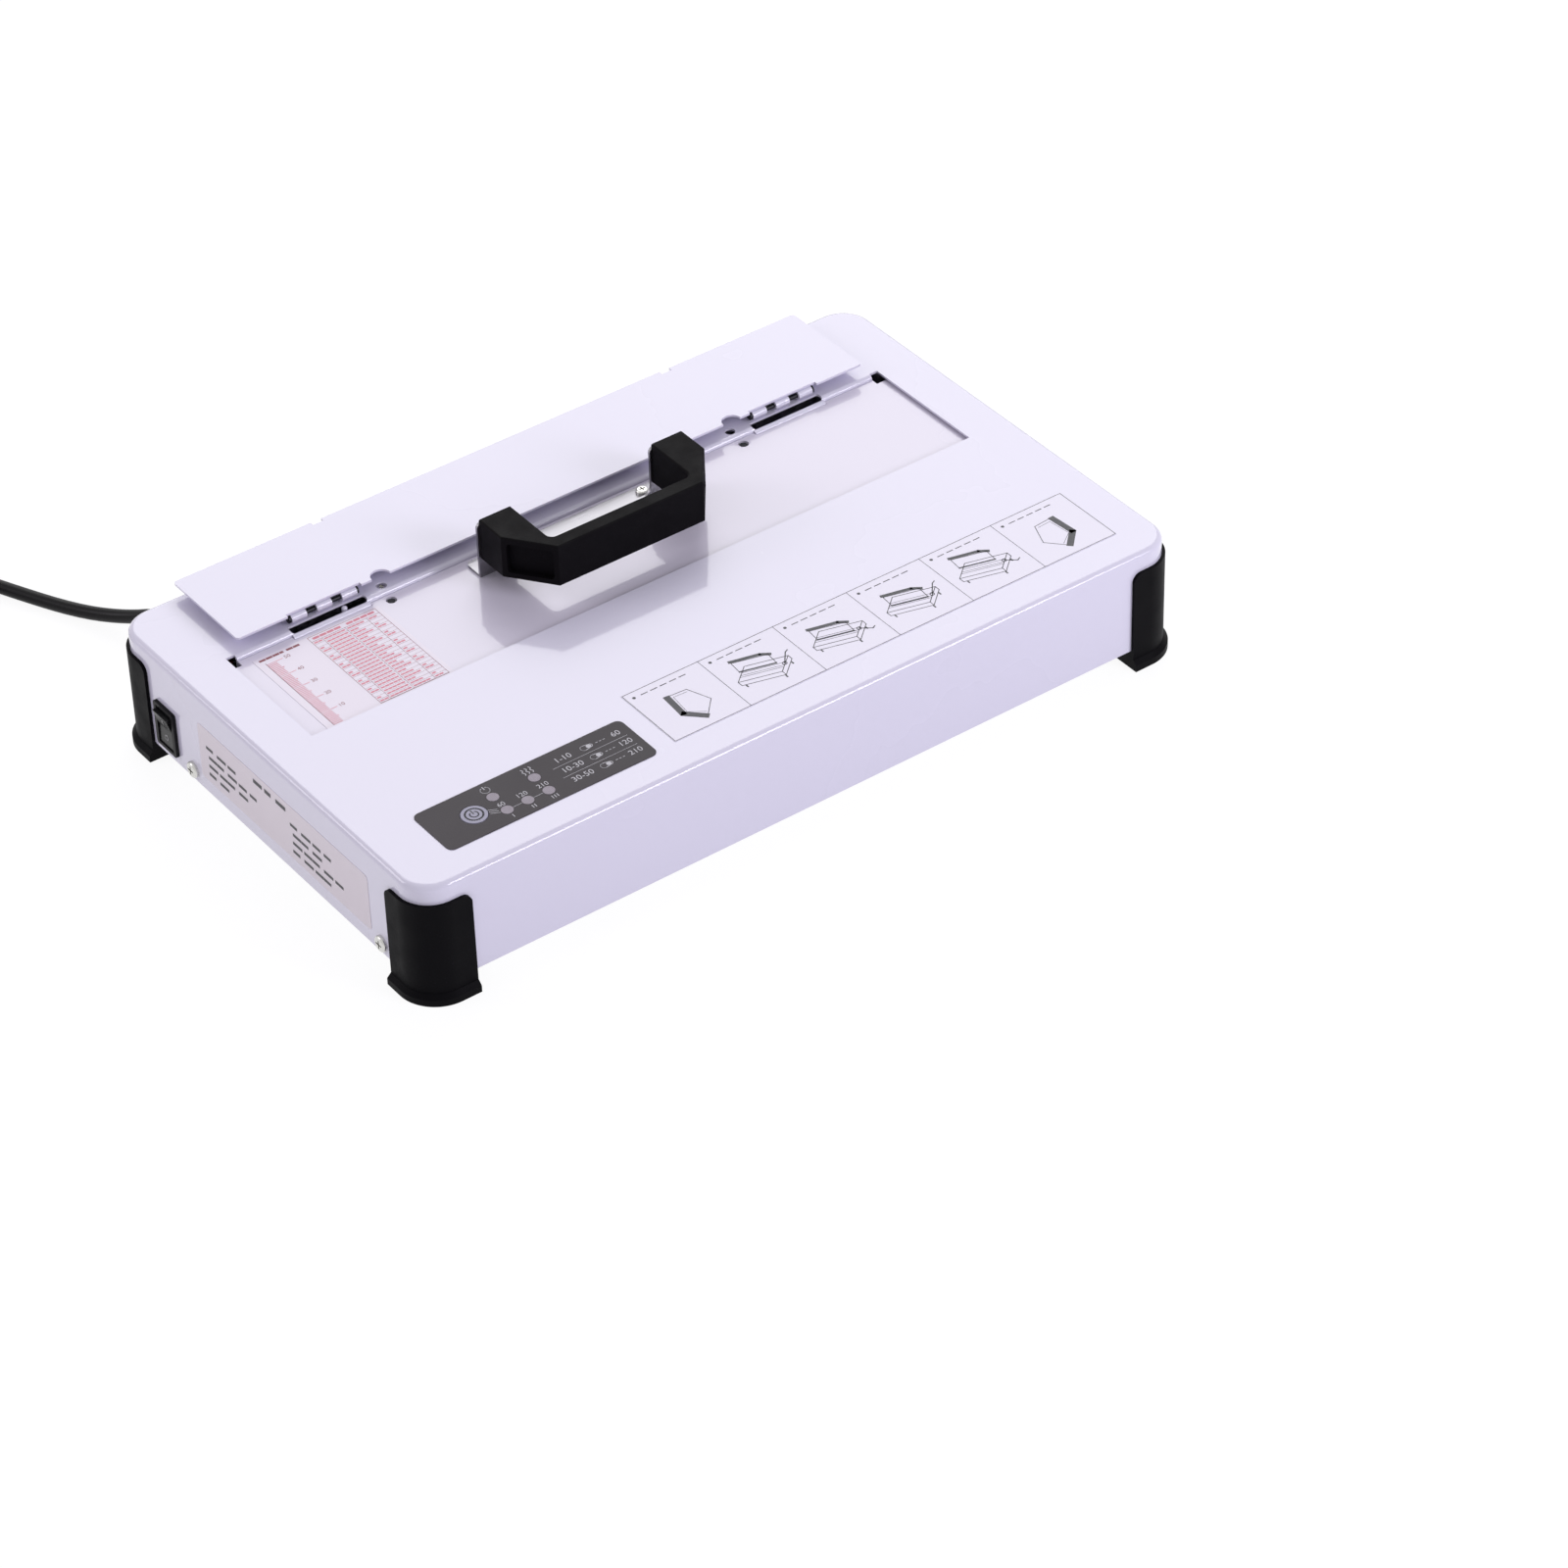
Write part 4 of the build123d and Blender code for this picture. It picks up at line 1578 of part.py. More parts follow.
def cord_tie():
    """Band round the coiled cord, on the far side from where it enters."""
    innermost = COIL_INNER_RADIUS - CORD_RADIUS
    inner = math.sqrt(innermost ** 2 - (TIE_WIDTH / 2) ** 2) - TIE_CLEARANCE
    outer = COIL_INNER_RADIUS + COIL_PITCH * (COIL_LOW_HALF_TURNS - 1) / 2 + CORD_RADIUS + TIE_CLEARANCE
    low = COIL_LOW_Z - CORD_RADIUS - TIE_CLEARANCE
    high = COIL_LOW_Z + COIL_RISE + CORD_RADIUS + TIE_CLEARANCE
    width = outer - inner
    height = high - low
    ring = RectangleRounded(width + 2 * TIE_THICKNESS, height + 2 * TIE_THICKNESS, TIE_RADIUS)
    ring -= RectangleRounded(width, height, TIE_RADIUS - TIE_THICKNESS)
    band = extrude(Plane.XZ * ring, TIE_WIDTH / 2, both=True)
    centre = coil_centre()
    left = COIL_START_HEADING + 90.0
    middle_z = (low + high) / 2
    return Pos(centre.X, centre.Y, middle_z) * Rot(0, 0, left) * Pos((inner + outer) / 2, 0, 0) * band


def plug_place():
    """Frame at the cord end of the plug, with X along the plug."""
    end = tail_points()[-1]
    return Pos(end.X, end.Y, end.Z) * Rot(0, 0, COIL_START_HEADING - TAIL_SECOND_TURN)


def plug_body():
    """Moulded plug with a tapered sleeve at the cord end."""
    sleeve = Rot(0, 90, 0) * Cone(PLUG_SLEEVE_TIP, PLUG_SLEEVE_ROOT, PLUG_SLEEVE_LENGTH)
    sleeve = Pos(PLUG_SLEEVE_LENGTH / 2, 0, 0) * sleeve
    head = Box(PLUG_LENGTH, PLUG_WIDTH, PLUG_THICKNESS)
    head = fillet(head.edges().filter_by(Axis.X), PLUG_EDGE_RADIUS)
    head = fillet(head.edges().group_by(Axis.X)[0], PLUG_EDGE_RADIUS)
    return plug_place() * (sleeve + Pos(PLUG_SLEEVE_LENGTH + PLUG_LENGTH / 2, 0, 0) * head)


def plug_pins():
    """Three flat pins: two slanted ones and the earth pin."""
    start = PLUG_SLEEVE_LENGTH + PLUG_LENGTH
    pin = Pos(start + PIN_LENGTH / 2, 0, 0) * Box(PIN_LENGTH, PIN_THICKNESS, PIN_WIDTH)
    pins = [plug_place() * Pos(0, 0, -EARTH_OFFSET) * pin]
    for side in (-1, 1):
        slanted = Rot(side * PIN_TILT, 0, 0) * pin
        pins.append(plug_place() * Pos(0, side * PIN_SPREAD, PIN_OFFSET) * slanted)
    return pins


def main():
    os.makedirs("parts", exist_ok=True)
    save(top_casing(), "top_casing")
    save(base_plate(), "base_plate")
    corner = foot()
    save(corner, "foot_rear_right")
    save(mirror(corner, Plane.YZ), "foot_rear_left")
    save(mirror(corner, Plane.XZ), "foot_front_right")
    save(mirror(mirror(corner, Plane.XZ), Plane.YZ), "foot_front_left")
    save(foot_screws(), "foot_screws")
    save(casing_screws(), "casing_screws")
    save(deck_screw(), "deck_screw")
    save(slot_stud(), "slot_stud")
    save(heating_bar(), "heating_bar")
    save(heater_mat(), "heater_mat")
    save(insulation_board(), "insulation_board")
    save(heater_channels(), "heater_channels")
    save(heater_screws(), "heater_screws")
    save(thermostat(), "thermostat")
    save(thermal_fuse(), "thermal_fuse")
    save(control_board(), "control_board")
    save(board_pillars(), "board_pillars")
    save(key_switch(), "key_switch")
    save(relay(), "relay")
    save(buzzer(), "buzzer")
    save(board_connectors(), "board_connectors")
    save(indicator_lamps(), "indicator_lamps")
    save(terminal_block(), "terminal_block")
    save(switch_body(), "switch_body")
    save(switch_terminals(), "switch_terminals")
    save(guide_rods(), "guide_rods")
    save(rod_brackets(), "rod_brackets")
    save(return_springs(), "return_springs")
    save(control_overlay(), "control_overlay")
    save(instruction_strip(), "instruction_strip")
    save(rating_sticker(), "rating_sticker")
    save(flap_bumpers(), "flap_bumpers")
    save(hinge_fixed_leaves(), "hinge_fixed_leaves")
    save(hinge_pins(), "hinge_pins")
    save(hinge_rivets(), "hinge_rivets")
    save(strain_relief(), "strain_relief")
    save(inner_wiring(), "inner_wiring")
    save(cord_run(), "cord_run")
    save(cord_coil(), "cord_coil")
    save(cord_tie(), "cord_tie")
    save(cord_tube("cord_tail", tail_points()), "cord_tail")
    save(plug_body(), "plug_body")
    save(plug_pins(), "plug_pins")
    save(sliding_panel(), "sliding_panel")
    save(moving_jaw(), "moving_jaw")
    save(jaw_screws(), "jaw_screws")
    save(slide_blocks(), "slide_blocks")
    save(panel_chart(), "panel_chart")
    save(handle_bracket(), "handle_bracket")
    save(bracket_screws(), "bracket_screws")
    save(handle(), "handle")
    save(handle_screws(), "handle_screws")
    save(document_flap(), "document_flap")
    save(hinge_moving_leaves(), "hinge_moving_leaves")
    save(flap_rivets(), "flap_rivets")
    save(power_key(), "power_key")
    save(rocker(), "rocker")


main()
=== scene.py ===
import math

import bmesh
import bpy
from mathutils import Matrix, Quaternion, Vector


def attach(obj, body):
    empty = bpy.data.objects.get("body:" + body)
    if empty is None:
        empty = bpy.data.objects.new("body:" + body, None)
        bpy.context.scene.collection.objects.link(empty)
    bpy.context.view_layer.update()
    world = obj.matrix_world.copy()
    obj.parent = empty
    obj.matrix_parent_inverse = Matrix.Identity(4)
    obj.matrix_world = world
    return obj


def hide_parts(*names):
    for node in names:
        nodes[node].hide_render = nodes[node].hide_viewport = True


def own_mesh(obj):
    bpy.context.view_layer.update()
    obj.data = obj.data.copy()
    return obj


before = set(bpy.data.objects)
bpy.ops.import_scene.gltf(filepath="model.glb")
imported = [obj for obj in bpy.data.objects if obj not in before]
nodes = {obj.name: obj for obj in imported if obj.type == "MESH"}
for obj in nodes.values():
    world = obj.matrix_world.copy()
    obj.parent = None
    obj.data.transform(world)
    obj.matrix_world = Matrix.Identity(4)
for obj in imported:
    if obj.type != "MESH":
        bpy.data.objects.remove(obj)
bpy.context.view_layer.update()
scene = bpy.context.scene
scene.view_settings.view_transform = "Standard"

# Viewpoint: a long lens from the front left and above, as the photograph was taken.
# The camera looks at a point on the deck in front of the casing's middle.
eye = bpy.data.objects.new("viewpoint", bpy.data.cameras.new("viewpoint"))
scene.collection.objects.link(eye)
eye.data.sensor_width = 36.0
eye.data.lens = 122.06
eye.data.clip_start = 0.05
eye.data.clip_end = 60.0
azimuth, elevation, roll = (math.radians(angle) for angle in (-35.59, 38.51, -1.71))
back = Vector((
    math.sin(azimuth) * math.cos(elevation),
    -math.cos(azimuth) * math.cos(elevation),
    math.sin(elevation),
))
eye.rotation_mode = "QUATERNION"
eye.rotation_quaternion = back.to_track_quat("Z", "Y") @ Quaternion((0, 0, 1), roll)
target, distance = Vector((-0.0366, -0.14092, 0.0565)), 2.0479
eye.location = target + back * distance
scene.camera = eye


# Table top: a plain white sheet that runs out of sight on every side. The camera sees it
# as almost pure white, and it keeps a soft trace of the machine's shadow.
def seen_straight(tree):
    """Socket that is 1 for rays that come from the camera, a gloss or a clear body, and else 0."""
    seen = tree.nodes.new("ShaderNodeLightPath")
    direct = tree.nodes.new("ShaderNodeMath")
    tree.links.new(seen.outputs["Is Camera Ray"], direct.inputs[0])
    tree.links.new(seen.outputs["Is Glossy Ray"], direct.inputs[1])
    direct_or_through = tree.nodes.new("ShaderNodeMath")
    direct_or_through.use_clamp = True
    tree.links.new(direct.outputs[0], direct_or_through.inputs[0])
    tree.links.new(seen.outputs["Is Transmission Ray"], direct_or_through.inputs[1])
    return direct_or_through.outputs[0]


sheet_mesh = bpy.data.meshes.new("table_top")
table_top = bpy.data.objects.new("table_top", sheet_mesh)
grid = bmesh.new()
sheet_reach = 8.0
bmesh.ops.create_grid(grid, x_segments=1, y_segments=1, size=sheet_reach)
grid.to_mesh(sheet_mesh)
grid.free()
scene.collection.objects.link(table_top)
table_white = bpy.data.materials.new("table_white")
table_white.use_nodes = True
tree = table_white.node_tree
tree.nodes.clear()
glow_share = tree.nodes.new("ShaderNodeMath")
glow_share.operation = "MULTIPLY"
glow_share.inputs[1].default_value = 0.80
tree.links.new(seen_straight(tree), glow_share.inputs[0])
matt = tree.nodes.new("ShaderNodeBsdfDiffuse")
matt.inputs["Color"].default_value = (0.86, 0.85, 0.89, 1)
bright = tree.nodes.new("ShaderNodeEmission")
bright.inputs["Strength"].default_value = 1.12
blend = tree.nodes.new("ShaderNodeMixShader")
tree.links.new(glow_share.outputs[0], blend.inputs[0])
tree.links.new(matt.outputs[0], blend.inputs[1])
tree.links.new(bright.outputs[0], blend.inputs[2])
surface = tree.nodes.new("ShaderNodeOutputMaterial")
tree.links.new(blend.outputs[0], surface.inputs["Surface"])
sheet_mesh.materials.append(table_white)

# Studio light: a pale room and a broad soft lamp behind to the right, which the glossy deck
# mirrors to the viewer. Two smaller ones light the front and the left wall and draw the
# bright lines along the rounded upper edges.
room = bpy.data.worlds.new("room")
scene.world = room
room.use_nodes = True
tree = room.node_tree
tree.nodes.clear()
ambient = tree.nodes.new("ShaderNodeBackground")
ambient.inputs["Color"].default_value = (0.97, 0.96, 1.0, 1)
ambient.inputs["Strength"].default_value = 0.50
backdrop = tree.nodes.new("ShaderNodeBackground")
blend = tree.nodes.new("ShaderNodeMixShader")
tree.links.new(seen_straight(tree), blend.inputs[0])
tree.links.new(ambient.outputs[0], blend.inputs[1])
tree.links.new(backdrop.outputs[0], blend.inputs[2])
surface = tree.nodes.new("ShaderNodeOutputWorld")
tree.links.new(blend.outputs[0], surface.inputs["Surface"])


def soft_lamp(name, place, width, power, colour=(1, 1, 1)):
    """Square lamp that faces the machine, with its width in metres and its power in watts."""
    lamp = bpy.data.objects.new(name, bpy.data.lights.new(name, "AREA"))
    scene.collection.objects.link(lamp)
    lamp.data.shape = "SQUARE"
    lamp.data.size = width
    lamp.data.energy = power
    lamp.data.color = colour
    lamp.location = place
    machine_middle = Vector((0, 0, 0.04))
    aim = machine_middle - Vector(place)
    lamp.rotation_mode = "QUATERNION"
    lamp.rotation_quaternion = aim.to_track_quat("-Z", "Y")


soft_lamp("lamp_behind_right", (1.19, 1.67, 1.67), 1.9, 23.0)
soft_lamp("lamp_front_right", (0.75, -1.45, 0.78), 0.6, 11.5, (0.90, 0.885, 1.0))
soft_lamp("lamp_behind_left", (-1.35, 1.0, 0.85), 0.7, 4.8, (0.98, 0.93, 1.0))


# Casing: one deck-and-walls shell of 1 mm steel sheet with a glossy white powder coat, which
# has a faint lavender cast and a fine orange-peel surface. The same coat covers the flap with
# its hinges and rivets and the stop stud, and the sliding panel has a slightly warmer one.
def new_group(name, inputs, outputs):
    """Node group with the given sockets, and its input and output nodes."""
    group = bpy.data.node_groups.new(name, "ShaderNodeTree")
    for side, sockets in (("INPUT", inputs), ("OUTPUT", outputs)):
        for socket, kind in sockets.items():
            group.interface.new_socket(name=socket, in_out=side, socket_type="NodeSocket" + kind)
    return group, group.nodes.new("NodeGroupInput"), group.nodes.new("NodeGroupOutput")


def surface_grain():
    """Node group that varies a colour, a roughness and the surface's slope from place to place."""
    group, given, result = new_group(
        "surface_grain",
        {"Colour": "Color", "Mottle": "Float", "Mottle Scale": "Float", "Grain Scale": "Float",
         "Grain Height": "Float", "Smoothest": "Float", "Roughest": "Float", "Stretch": "Vector"},
        {"Colour": "Color", "Roughness": "Float", "Normal": "Vector"})
    add, link = group.nodes.new, group.links.new
    place = add("ShaderNodeTexCoord")
    stretched = add("ShaderNodeVectorMath")
    stretched.operation = "MULTIPLY"
    link(place.outputs["Object"], stretched.inputs[0])
    link(given.outputs["Stretch"], stretched.inputs[1])
    clouds = add("ShaderNodeTexNoise")
    clouds.inputs["Detail"].default_value = 4.0
    link(place.outputs["Object"], clouds.inputs["Vector"])
    link(given.outputs["Mottle Scale"], clouds.inputs["Scale"])
    grain = add("ShaderNodeTexNoise")
    grain.inputs["Detail"].default_value = 3.0
    link(stretched.outputs[0], grain.inputs["Vector"])
    link(given.outputs["Grain Scale"], grain.inputs["Scale"])
    lift = add("ShaderNodeMath")
    lift.operation = "SUBTRACT"
    lift.inputs[1].default_value = 0.5
    link(clouds.outputs[0], lift.inputs[0])
    swing = add("ShaderNodeMath")
    swing.operation = "MULTIPLY_ADD"
    swing.inputs[2].default_value = 1.0
    link(lift.outputs[0], swing.inputs[0])
    link(given.outputs["Mottle"], swing.inputs[1])
    tinted = add("ShaderNodeVectorMath")
    tinted.operation = "SCALE"
    link(given.outputs["Colour"], tinted.inputs[0])
    link(swing.outputs[0], tinted.inputs["Scale"])
    link(tinted.outputs[0], result.inputs["Colour"])
    spread = add("ShaderNodeMapRange")
    spread.inputs["From Min"].default_value = 0.3
    spread.inputs["From Max"].default_value = 0.7
    link(clouds.outputs[0], spread.inputs["Value"])
    link(given.outputs["Smoothest"], spread.inputs["To Min"])
    link(given.outputs["Roughest"], spread.inputs["To Max"])
    link(spread.outputs[0], result.inputs["Roughness"])
    bump = add("ShaderNodeBump")
    bump.inputs["Distance"].default_value = 0.0002
    link(given.outputs["Grain Height"], bump.inputs["Strength"])
    link(grain.outputs[0], bump.inputs["Height"])
    link(bump.outputs[0], result.inputs["Normal"])
    return group


grain_group = surface_grain()


def finish_of(name, colour, smoothest, roughest, grain_scale, grain_height, mottle=0.05,
              mottle_scale=40.0, metallic=0.0, coat=0.0, coat_roughness=0.1, stretch=(1, 1, 1),
              specular=0.5):
    """Material with the grain group, with its scales per metre; stretch draws the grain out along an axis."""
    material = bpy.data.materials.new(name)
    material.use_nodes = True
    tree = material.node_tree
    shader = tree.nodes["Principled BSDF"]
    shader.inputs["Metallic"].default_value = metallic
    shader.inputs["Coat Weight"].default_value = coat
    shader.inputs["Coat Roughness"].default_value = coat_roughness
    shader.inputs["Specular IOR Level"].default_value = specular
    grain = tree.nodes.new("ShaderNodeGroup")
    grain.node_tree = grain_group
    grain.name = "grain"
    values = {"Colour": (*colour, 1), "Mottle": mottle, "Mottle Scale": mottle_scale,
              "Grain Scale": grain_scale, "Grain Height": grain_height, "Smoothest": smoothest,
              "Roughest": roughest, "Stretch": stretch}
    for port, value in values.items():
        grain.inputs[port].default_value = value
    tree.links.new(grain.outputs["Colour"], shader.inputs["Base Color"])
    tree.links.new(grain.outputs["Roughness"], shader.inputs["Roughness"])
    tree.links.new(grain.outputs["Normal"], shader.inputs["Normal"])
    return material


dressed = set()


def dress(material, *names):
    """Gives CAD nodes their finish."""
    for name in names:
        mesh = nodes[name].data
        mesh.materials.clear()
        mesh.materials.append(material)
        dressed.add(name)


white_coat = finish_of("white_powder_coat", (0.755, 0.725, 0.865), 0.22, 0.30, 900, 0.06, mottle=0.02,
                       mottle_scale=9.0, coat=1.0, coat_roughness=0.07, specular=0.2)
panel_coat = finish_of("panel_powder_coat", (0.735, 0.69, 0.815), 0.22, 0.30, 900, 0.05, mottle=0.02,
                       mottle_scale=9.0, coat=1.0, coat_roughness=0.06, specular=0.2)
dress(white_coat, "top_casing", "document_flap", "slot_stud", "hinge_rivets", "flap_rivets",
      "hinge_fixed_leaves", "hinge_moving_leaves")
dress(panel_coat, "sliding_panel")

# Base, heater channels, rod brackets, jaw and handle bracket: folded and punched sheet with
# cloudy zinc plating, darker on the jaw and the handle bracket. The rolling marks run along
# the sheet.
along_x = (0.06, 1, 1)
zinc_plate = finish_of("zinc_plated_sheet", (0.70, 0.71, 0.73), 0.28, 0.44, 700, 0.15, mottle=0.16,
                       mottle_scale=60, metallic=1.0, stretch=along_x)
jaw_steel = finish_of("passivated_jaw", (0.24, 0.24, 0.26), 0.42, 0.58, 700, 0.15, mottle=0.2,
                      mottle_scale=60, metallic=1.0, stretch=along_x)
bracket_plate = finish_of("bright_plated_bracket", (0.31, 0.303, 0.325), 0.24, 0.36, 900, 0.25,
                          mottle=0.16, mottle_scale=70, metallic=1.0, stretch=(0.08, 1, 1))
dress(zinc_plate, "base_plate", "heater_channels", "rod_brackets")
dress(jaw_steel, "moving_jaw")
dress(bracket_plate, "handle_bracket")

# Heating bar: a milled aluminium bar under the slot, which melts the glue in a document's
# spine. Fine cutter marks run across it.
bar_metal = finish_of("milled_aluminium", (0.80, 0.81, 0.82), 0.26, 0.36, 900, 0.2, mottle=0.06,
                      metallic=1.0, stretch=(1, 0.05, 1))
dress(bar_metal, "heating_bar")

# Rods, pins and screws: drawn or turned steel with a bright plating. The hinge pins and the jaw
# screws are near-black instead, a painted shade for the dark gaps between the hinge knuckles and
# the dark holes in the sliding panel. Screw heads are a little yellower and more uneven than the rods.
rod_steel = finish_of("ground_steel", (0.72, 0.72, 0.74), 0.10, 0.18, 2200, 0.08, mottle=0.05,
                      metallic=1.0, stretch=(1, 0.04, 1))
screw_steel = finish_of("plated_screw", (0.66, 0.655, 0.63), 0.16, 0.34, 1600, 0.25, mottle=0.2,
                        mottle_scale=500, metallic=1.0)
# Painted shade: near-black steel on the hinge pins and jaw screws stands for the shade in the hinge gaps and
# panel holes.
painted_shade_steel = finish_of("painted_shade_pin", (0.03, 0.03, 0.034), 0.32, 0.46, 2200, 0.1, mottle=0.1,
                      metallic=1.0)
dress(rod_steel, "guide_rods")
dress(painted_shade_steel, "hinge_pins", "jaw_screws")
dress(screw_steel, "foot_screws", "casing_screws", "deck_screw", "heater_screws", "bracket_screws",
      "handle_screws")


# Return springs: two coils of bright wire round the guide rods, between the front brackets
# and the slide blocks. They are squeezed along the rods as the panel comes forward.
metres_per_mm = 0.001


def piece_from(shape, name, body, material, smooth=False):
    """Turns a shape in millimetres into a finished piece that moves with a body."""
    shape.transform(Matrix.Scale(metres_per_mm, 4))
    mesh = bpy.data.meshes.new(name)
    shape.to_mesh(mesh)
    shape.free()
    for face in mesh.polygons:
        face.use_smooth = smooth
    mesh.materials.append(material)
    piece = bpy.data.objects.new(name, mesh)
    scene.collection.objects.link(piece)
    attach(piece, body)
    return piece


spring_steel = finish_of("spring_wire", (0.60, 0.60, 0.62), 0.18, 0.30, 2600, 0.15, mottle=0.1,
                         metallic=1.0)
rod_x, rod_z, coil_radius, wire_radius = 174.0, 44.0, 4.0, 0.45
spring_front, spring_back, spring_turns, steps_per_turn = -83.35, 1.35, 16, 16
spring_length = spring_back - spring_front
spring_steps = spring_turns * steps_per_turn
springs_shape = bmesh.new()
for side in (-1, 1):
    start = Matrix.Translation((side * rod_x + coil_radius, spring_front, rod_z))
    made = bmesh.ops.create_circle(springs_shape, radius=wire_radius, segments=8, matrix=start)
    ring = made["verts"] + list({edge for vert in made["verts"] for edge in vert.link_edges})
    bmesh.ops.spin(springs_shape, geom=ring, cent=(side * rod_x, 0, rod_z), axis=(0, 1, 0),
                   dvec=(0, spring_length / spring_steps, 0), angle=2 * math.pi * spring_turns,
                   steps=spring_steps)
wire_ends = [edge for edge in springs_shape.edges if edge.is_boundary]
bmesh.ops.holes_fill(springs_shape, edges=wire_ends, sides=0)
bmesh.ops.recalc_face_normals(springs_shape, faces=springs_shape.faces)
springs = piece_from(springs_shape, "coil_springs", "chassis", spring_steel, smooth=True)
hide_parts("return_springs")
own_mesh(springs)

# Heater layers: a red-brown silicone mat with its woven face, and a pale fibre board. The
# thermostat, the fuse and the key's switch are dark phenolic mouldings.
mat_silicone = finish_of("silicone_mat", (0.42, 0.13, 0.06), 0.55, 0.7, 1500, 0.5, mottle=0.12)
fibre_board = finish_of("fibre_board", (0.58, 0.54, 0.44), 0.75, 0.9, 1900, 0.6, mottle=0.2,
                        mottle_scale=150)
phenolic = finish_of("phenolic_moulding", (0.03, 0.024, 0.02), 0.30, 0.42, 1200, 0.1, mottle=0.2)
dress(mat_silicone, "heater_mat")
dress(fibre_board, "insulation_board")
dress(phenolic, "thermostat", "thermal_fuse", "key_switch")

# Circuit board and what is soldered or clipped to it: green solder resist over copper,
# white nylon pillars and connectors, black relay, buzzer and terminals, brass tabs and red
# wires. The slide blocks and the switch's body are of the same black moulding.
resist_green = finish_of("solder_resist", (0.012, 0.11, 0.035), 0.16, 0.28, 700, 0.2, mottle=0.35,
                         mottle_scale=260)
nylon = finish_of("white_nylon", (0.74, 0.74, 0.70), 0.35, 0.5, 1300, 0.12, mottle=0.05)
part_black = finish_of("moulded_black", (0.008, 0.0075, 0.009), 0.34, 0.48, 1700, 0.2, mottle=0.15,
                       specular=0.12)
tab_brass = finish_of("bare_brass", (0.70, 0.50, 0.18), 0.2, 0.36, 1600, 0.15, mottle=0.12,
                      metallic=1.0)
wire_cover = finish_of("wire_cover", (0.32, 0.035, 0.03), 0.35, 0.5, 900, 0.1, mottle=0.25,
                       mottle_scale=12)
dress(resist_green, "control_board")
dress(nylon, "board_pillars", "board_connectors")
dress(part_black, "relay", "buzzer", "terminal_block", "slide_blocks")
dress(tab_brass, "switch_terminals")
dress(wire_cover, "inner_wiring")

# Feet and bumpers: black moulded rubber-like plastic with a fine spark-eroded grain. The
# feet wrap the casing's corners, and the bumpers carry the flap when it lies down.
foot_black = finish_of("foot_moulding", (0.0026, 0.0023, 0.0034), 0.42, 0.56, 1500, 0.35, mottle=0.25,
                       mottle_scale=90, specular=0.05)
dress(foot_black, "foot_front_left", "foot_front_right", "foot_rear_left", "foot_rear_right",
      "flap_bumpers")

# Handle: a black bridge handle moulded in glass-filled nylon, a little duller than the feet,
# with a coarser grain.
handle_black = finish_of("handle_moulding", (0.0036, 0.0030, 0.0040), 0.46, 0.60, 1900, 0.45, mottle=0.22,
                         mottle_scale=140, specular=0.06)
dress(handle_black, "handle")

# Rocker switch: a black glossy paddle in a matt bezel in the left wall, with the usual line
# and circle, in white, on the paddle's two halves.
paddle_black = finish_of("paddle_moulding", (0.006, 0.006, 0.007), 0.18, 0.28, 1200, 0.06, mottle=0.1,
                         specular=0.2)
dress(paddle_black, "rocker")
dress(part_black, "switch_body")


def ink_of(name, colour, roughness):
    """Screen-printed ink, a little uneven where the screen left less of it."""
    return finish_of(name, colour, roughness, roughness + 0.12, 1400, 0.08, mottle=0.10,
                     mottle_scale=600)


def stroke(ink, start, end, width):
    """Straight line of ink between two points, in millimetres."""
    start, end = Vector((*start, 0)), Vector((*end, 0))
    along = end - start
    place = Matrix.Translation((start + end) / 2) @ Matrix.Rotation(math.atan2(along.y, along.x), 4, "Z")
    size = Matrix.Diagonal((along.length + width * 0.6, width, 1, 1))
    bmesh.ops.create_grid(ink, x_segments=1, y_segments=1, size=0.5, matrix=place @ size)


def chain(ink, points, width, closed=False):
    """Line of ink through several points."""
    ends = points[1:] + points[:1] if closed else points[1:]
    for start, end in zip(points, ends):
        stroke(ink, start, end, width)


def arc(ink, centre, radius, width, first=0, last=360):
    """Circle of ink, or a part of one, in degrees."""
    steps = max(6, int(abs(last - first) / 15))
    turn = [math.radians(first + (last - first) * step / steps) for step in range(steps + 1)]
    points = [(centre[0] + radius * math.cos(a), centre[1] + radius * math.sin(a)) for a in turn]
    chain(ink, points, width)


def spot(ink, centre, radius):
    """Filled round spot of ink."""
    place = Matrix.Translation((*centre, 0))
    bmesh.ops.create_circle(ink, cap_ends=True, radius=radius, segments=20, matrix=place)


def figures(ink, text, centre, height):
    """Plain figures, centred on a point."""
    figure_share = 0.7
    curve = bpy.data.curves.new("figures", "FONT")
    curve.body = text
    curve.size = height / figure_share
    curve.align_x = "CENTER"
    curve.align_y = "CENTER"
    curve.resolution_u = 3
    holder = bpy.data.objects.new("figures", curve)
    scene.collection.objects.link(holder)
    bpy.context.view_layer.update()
    depsgraph = bpy.context.evaluated_depsgraph_get()
    flat = bpy.data.meshes.new_from_object(holder.evaluated_get(depsgraph), depsgraph=depsgraph)
    flat.transform(Matrix.Translation((*centre, 0)))
    ink.from_mesh(flat)
    bpy.data.objects.remove(holder)
    bpy.data.meshes.remove(flat)


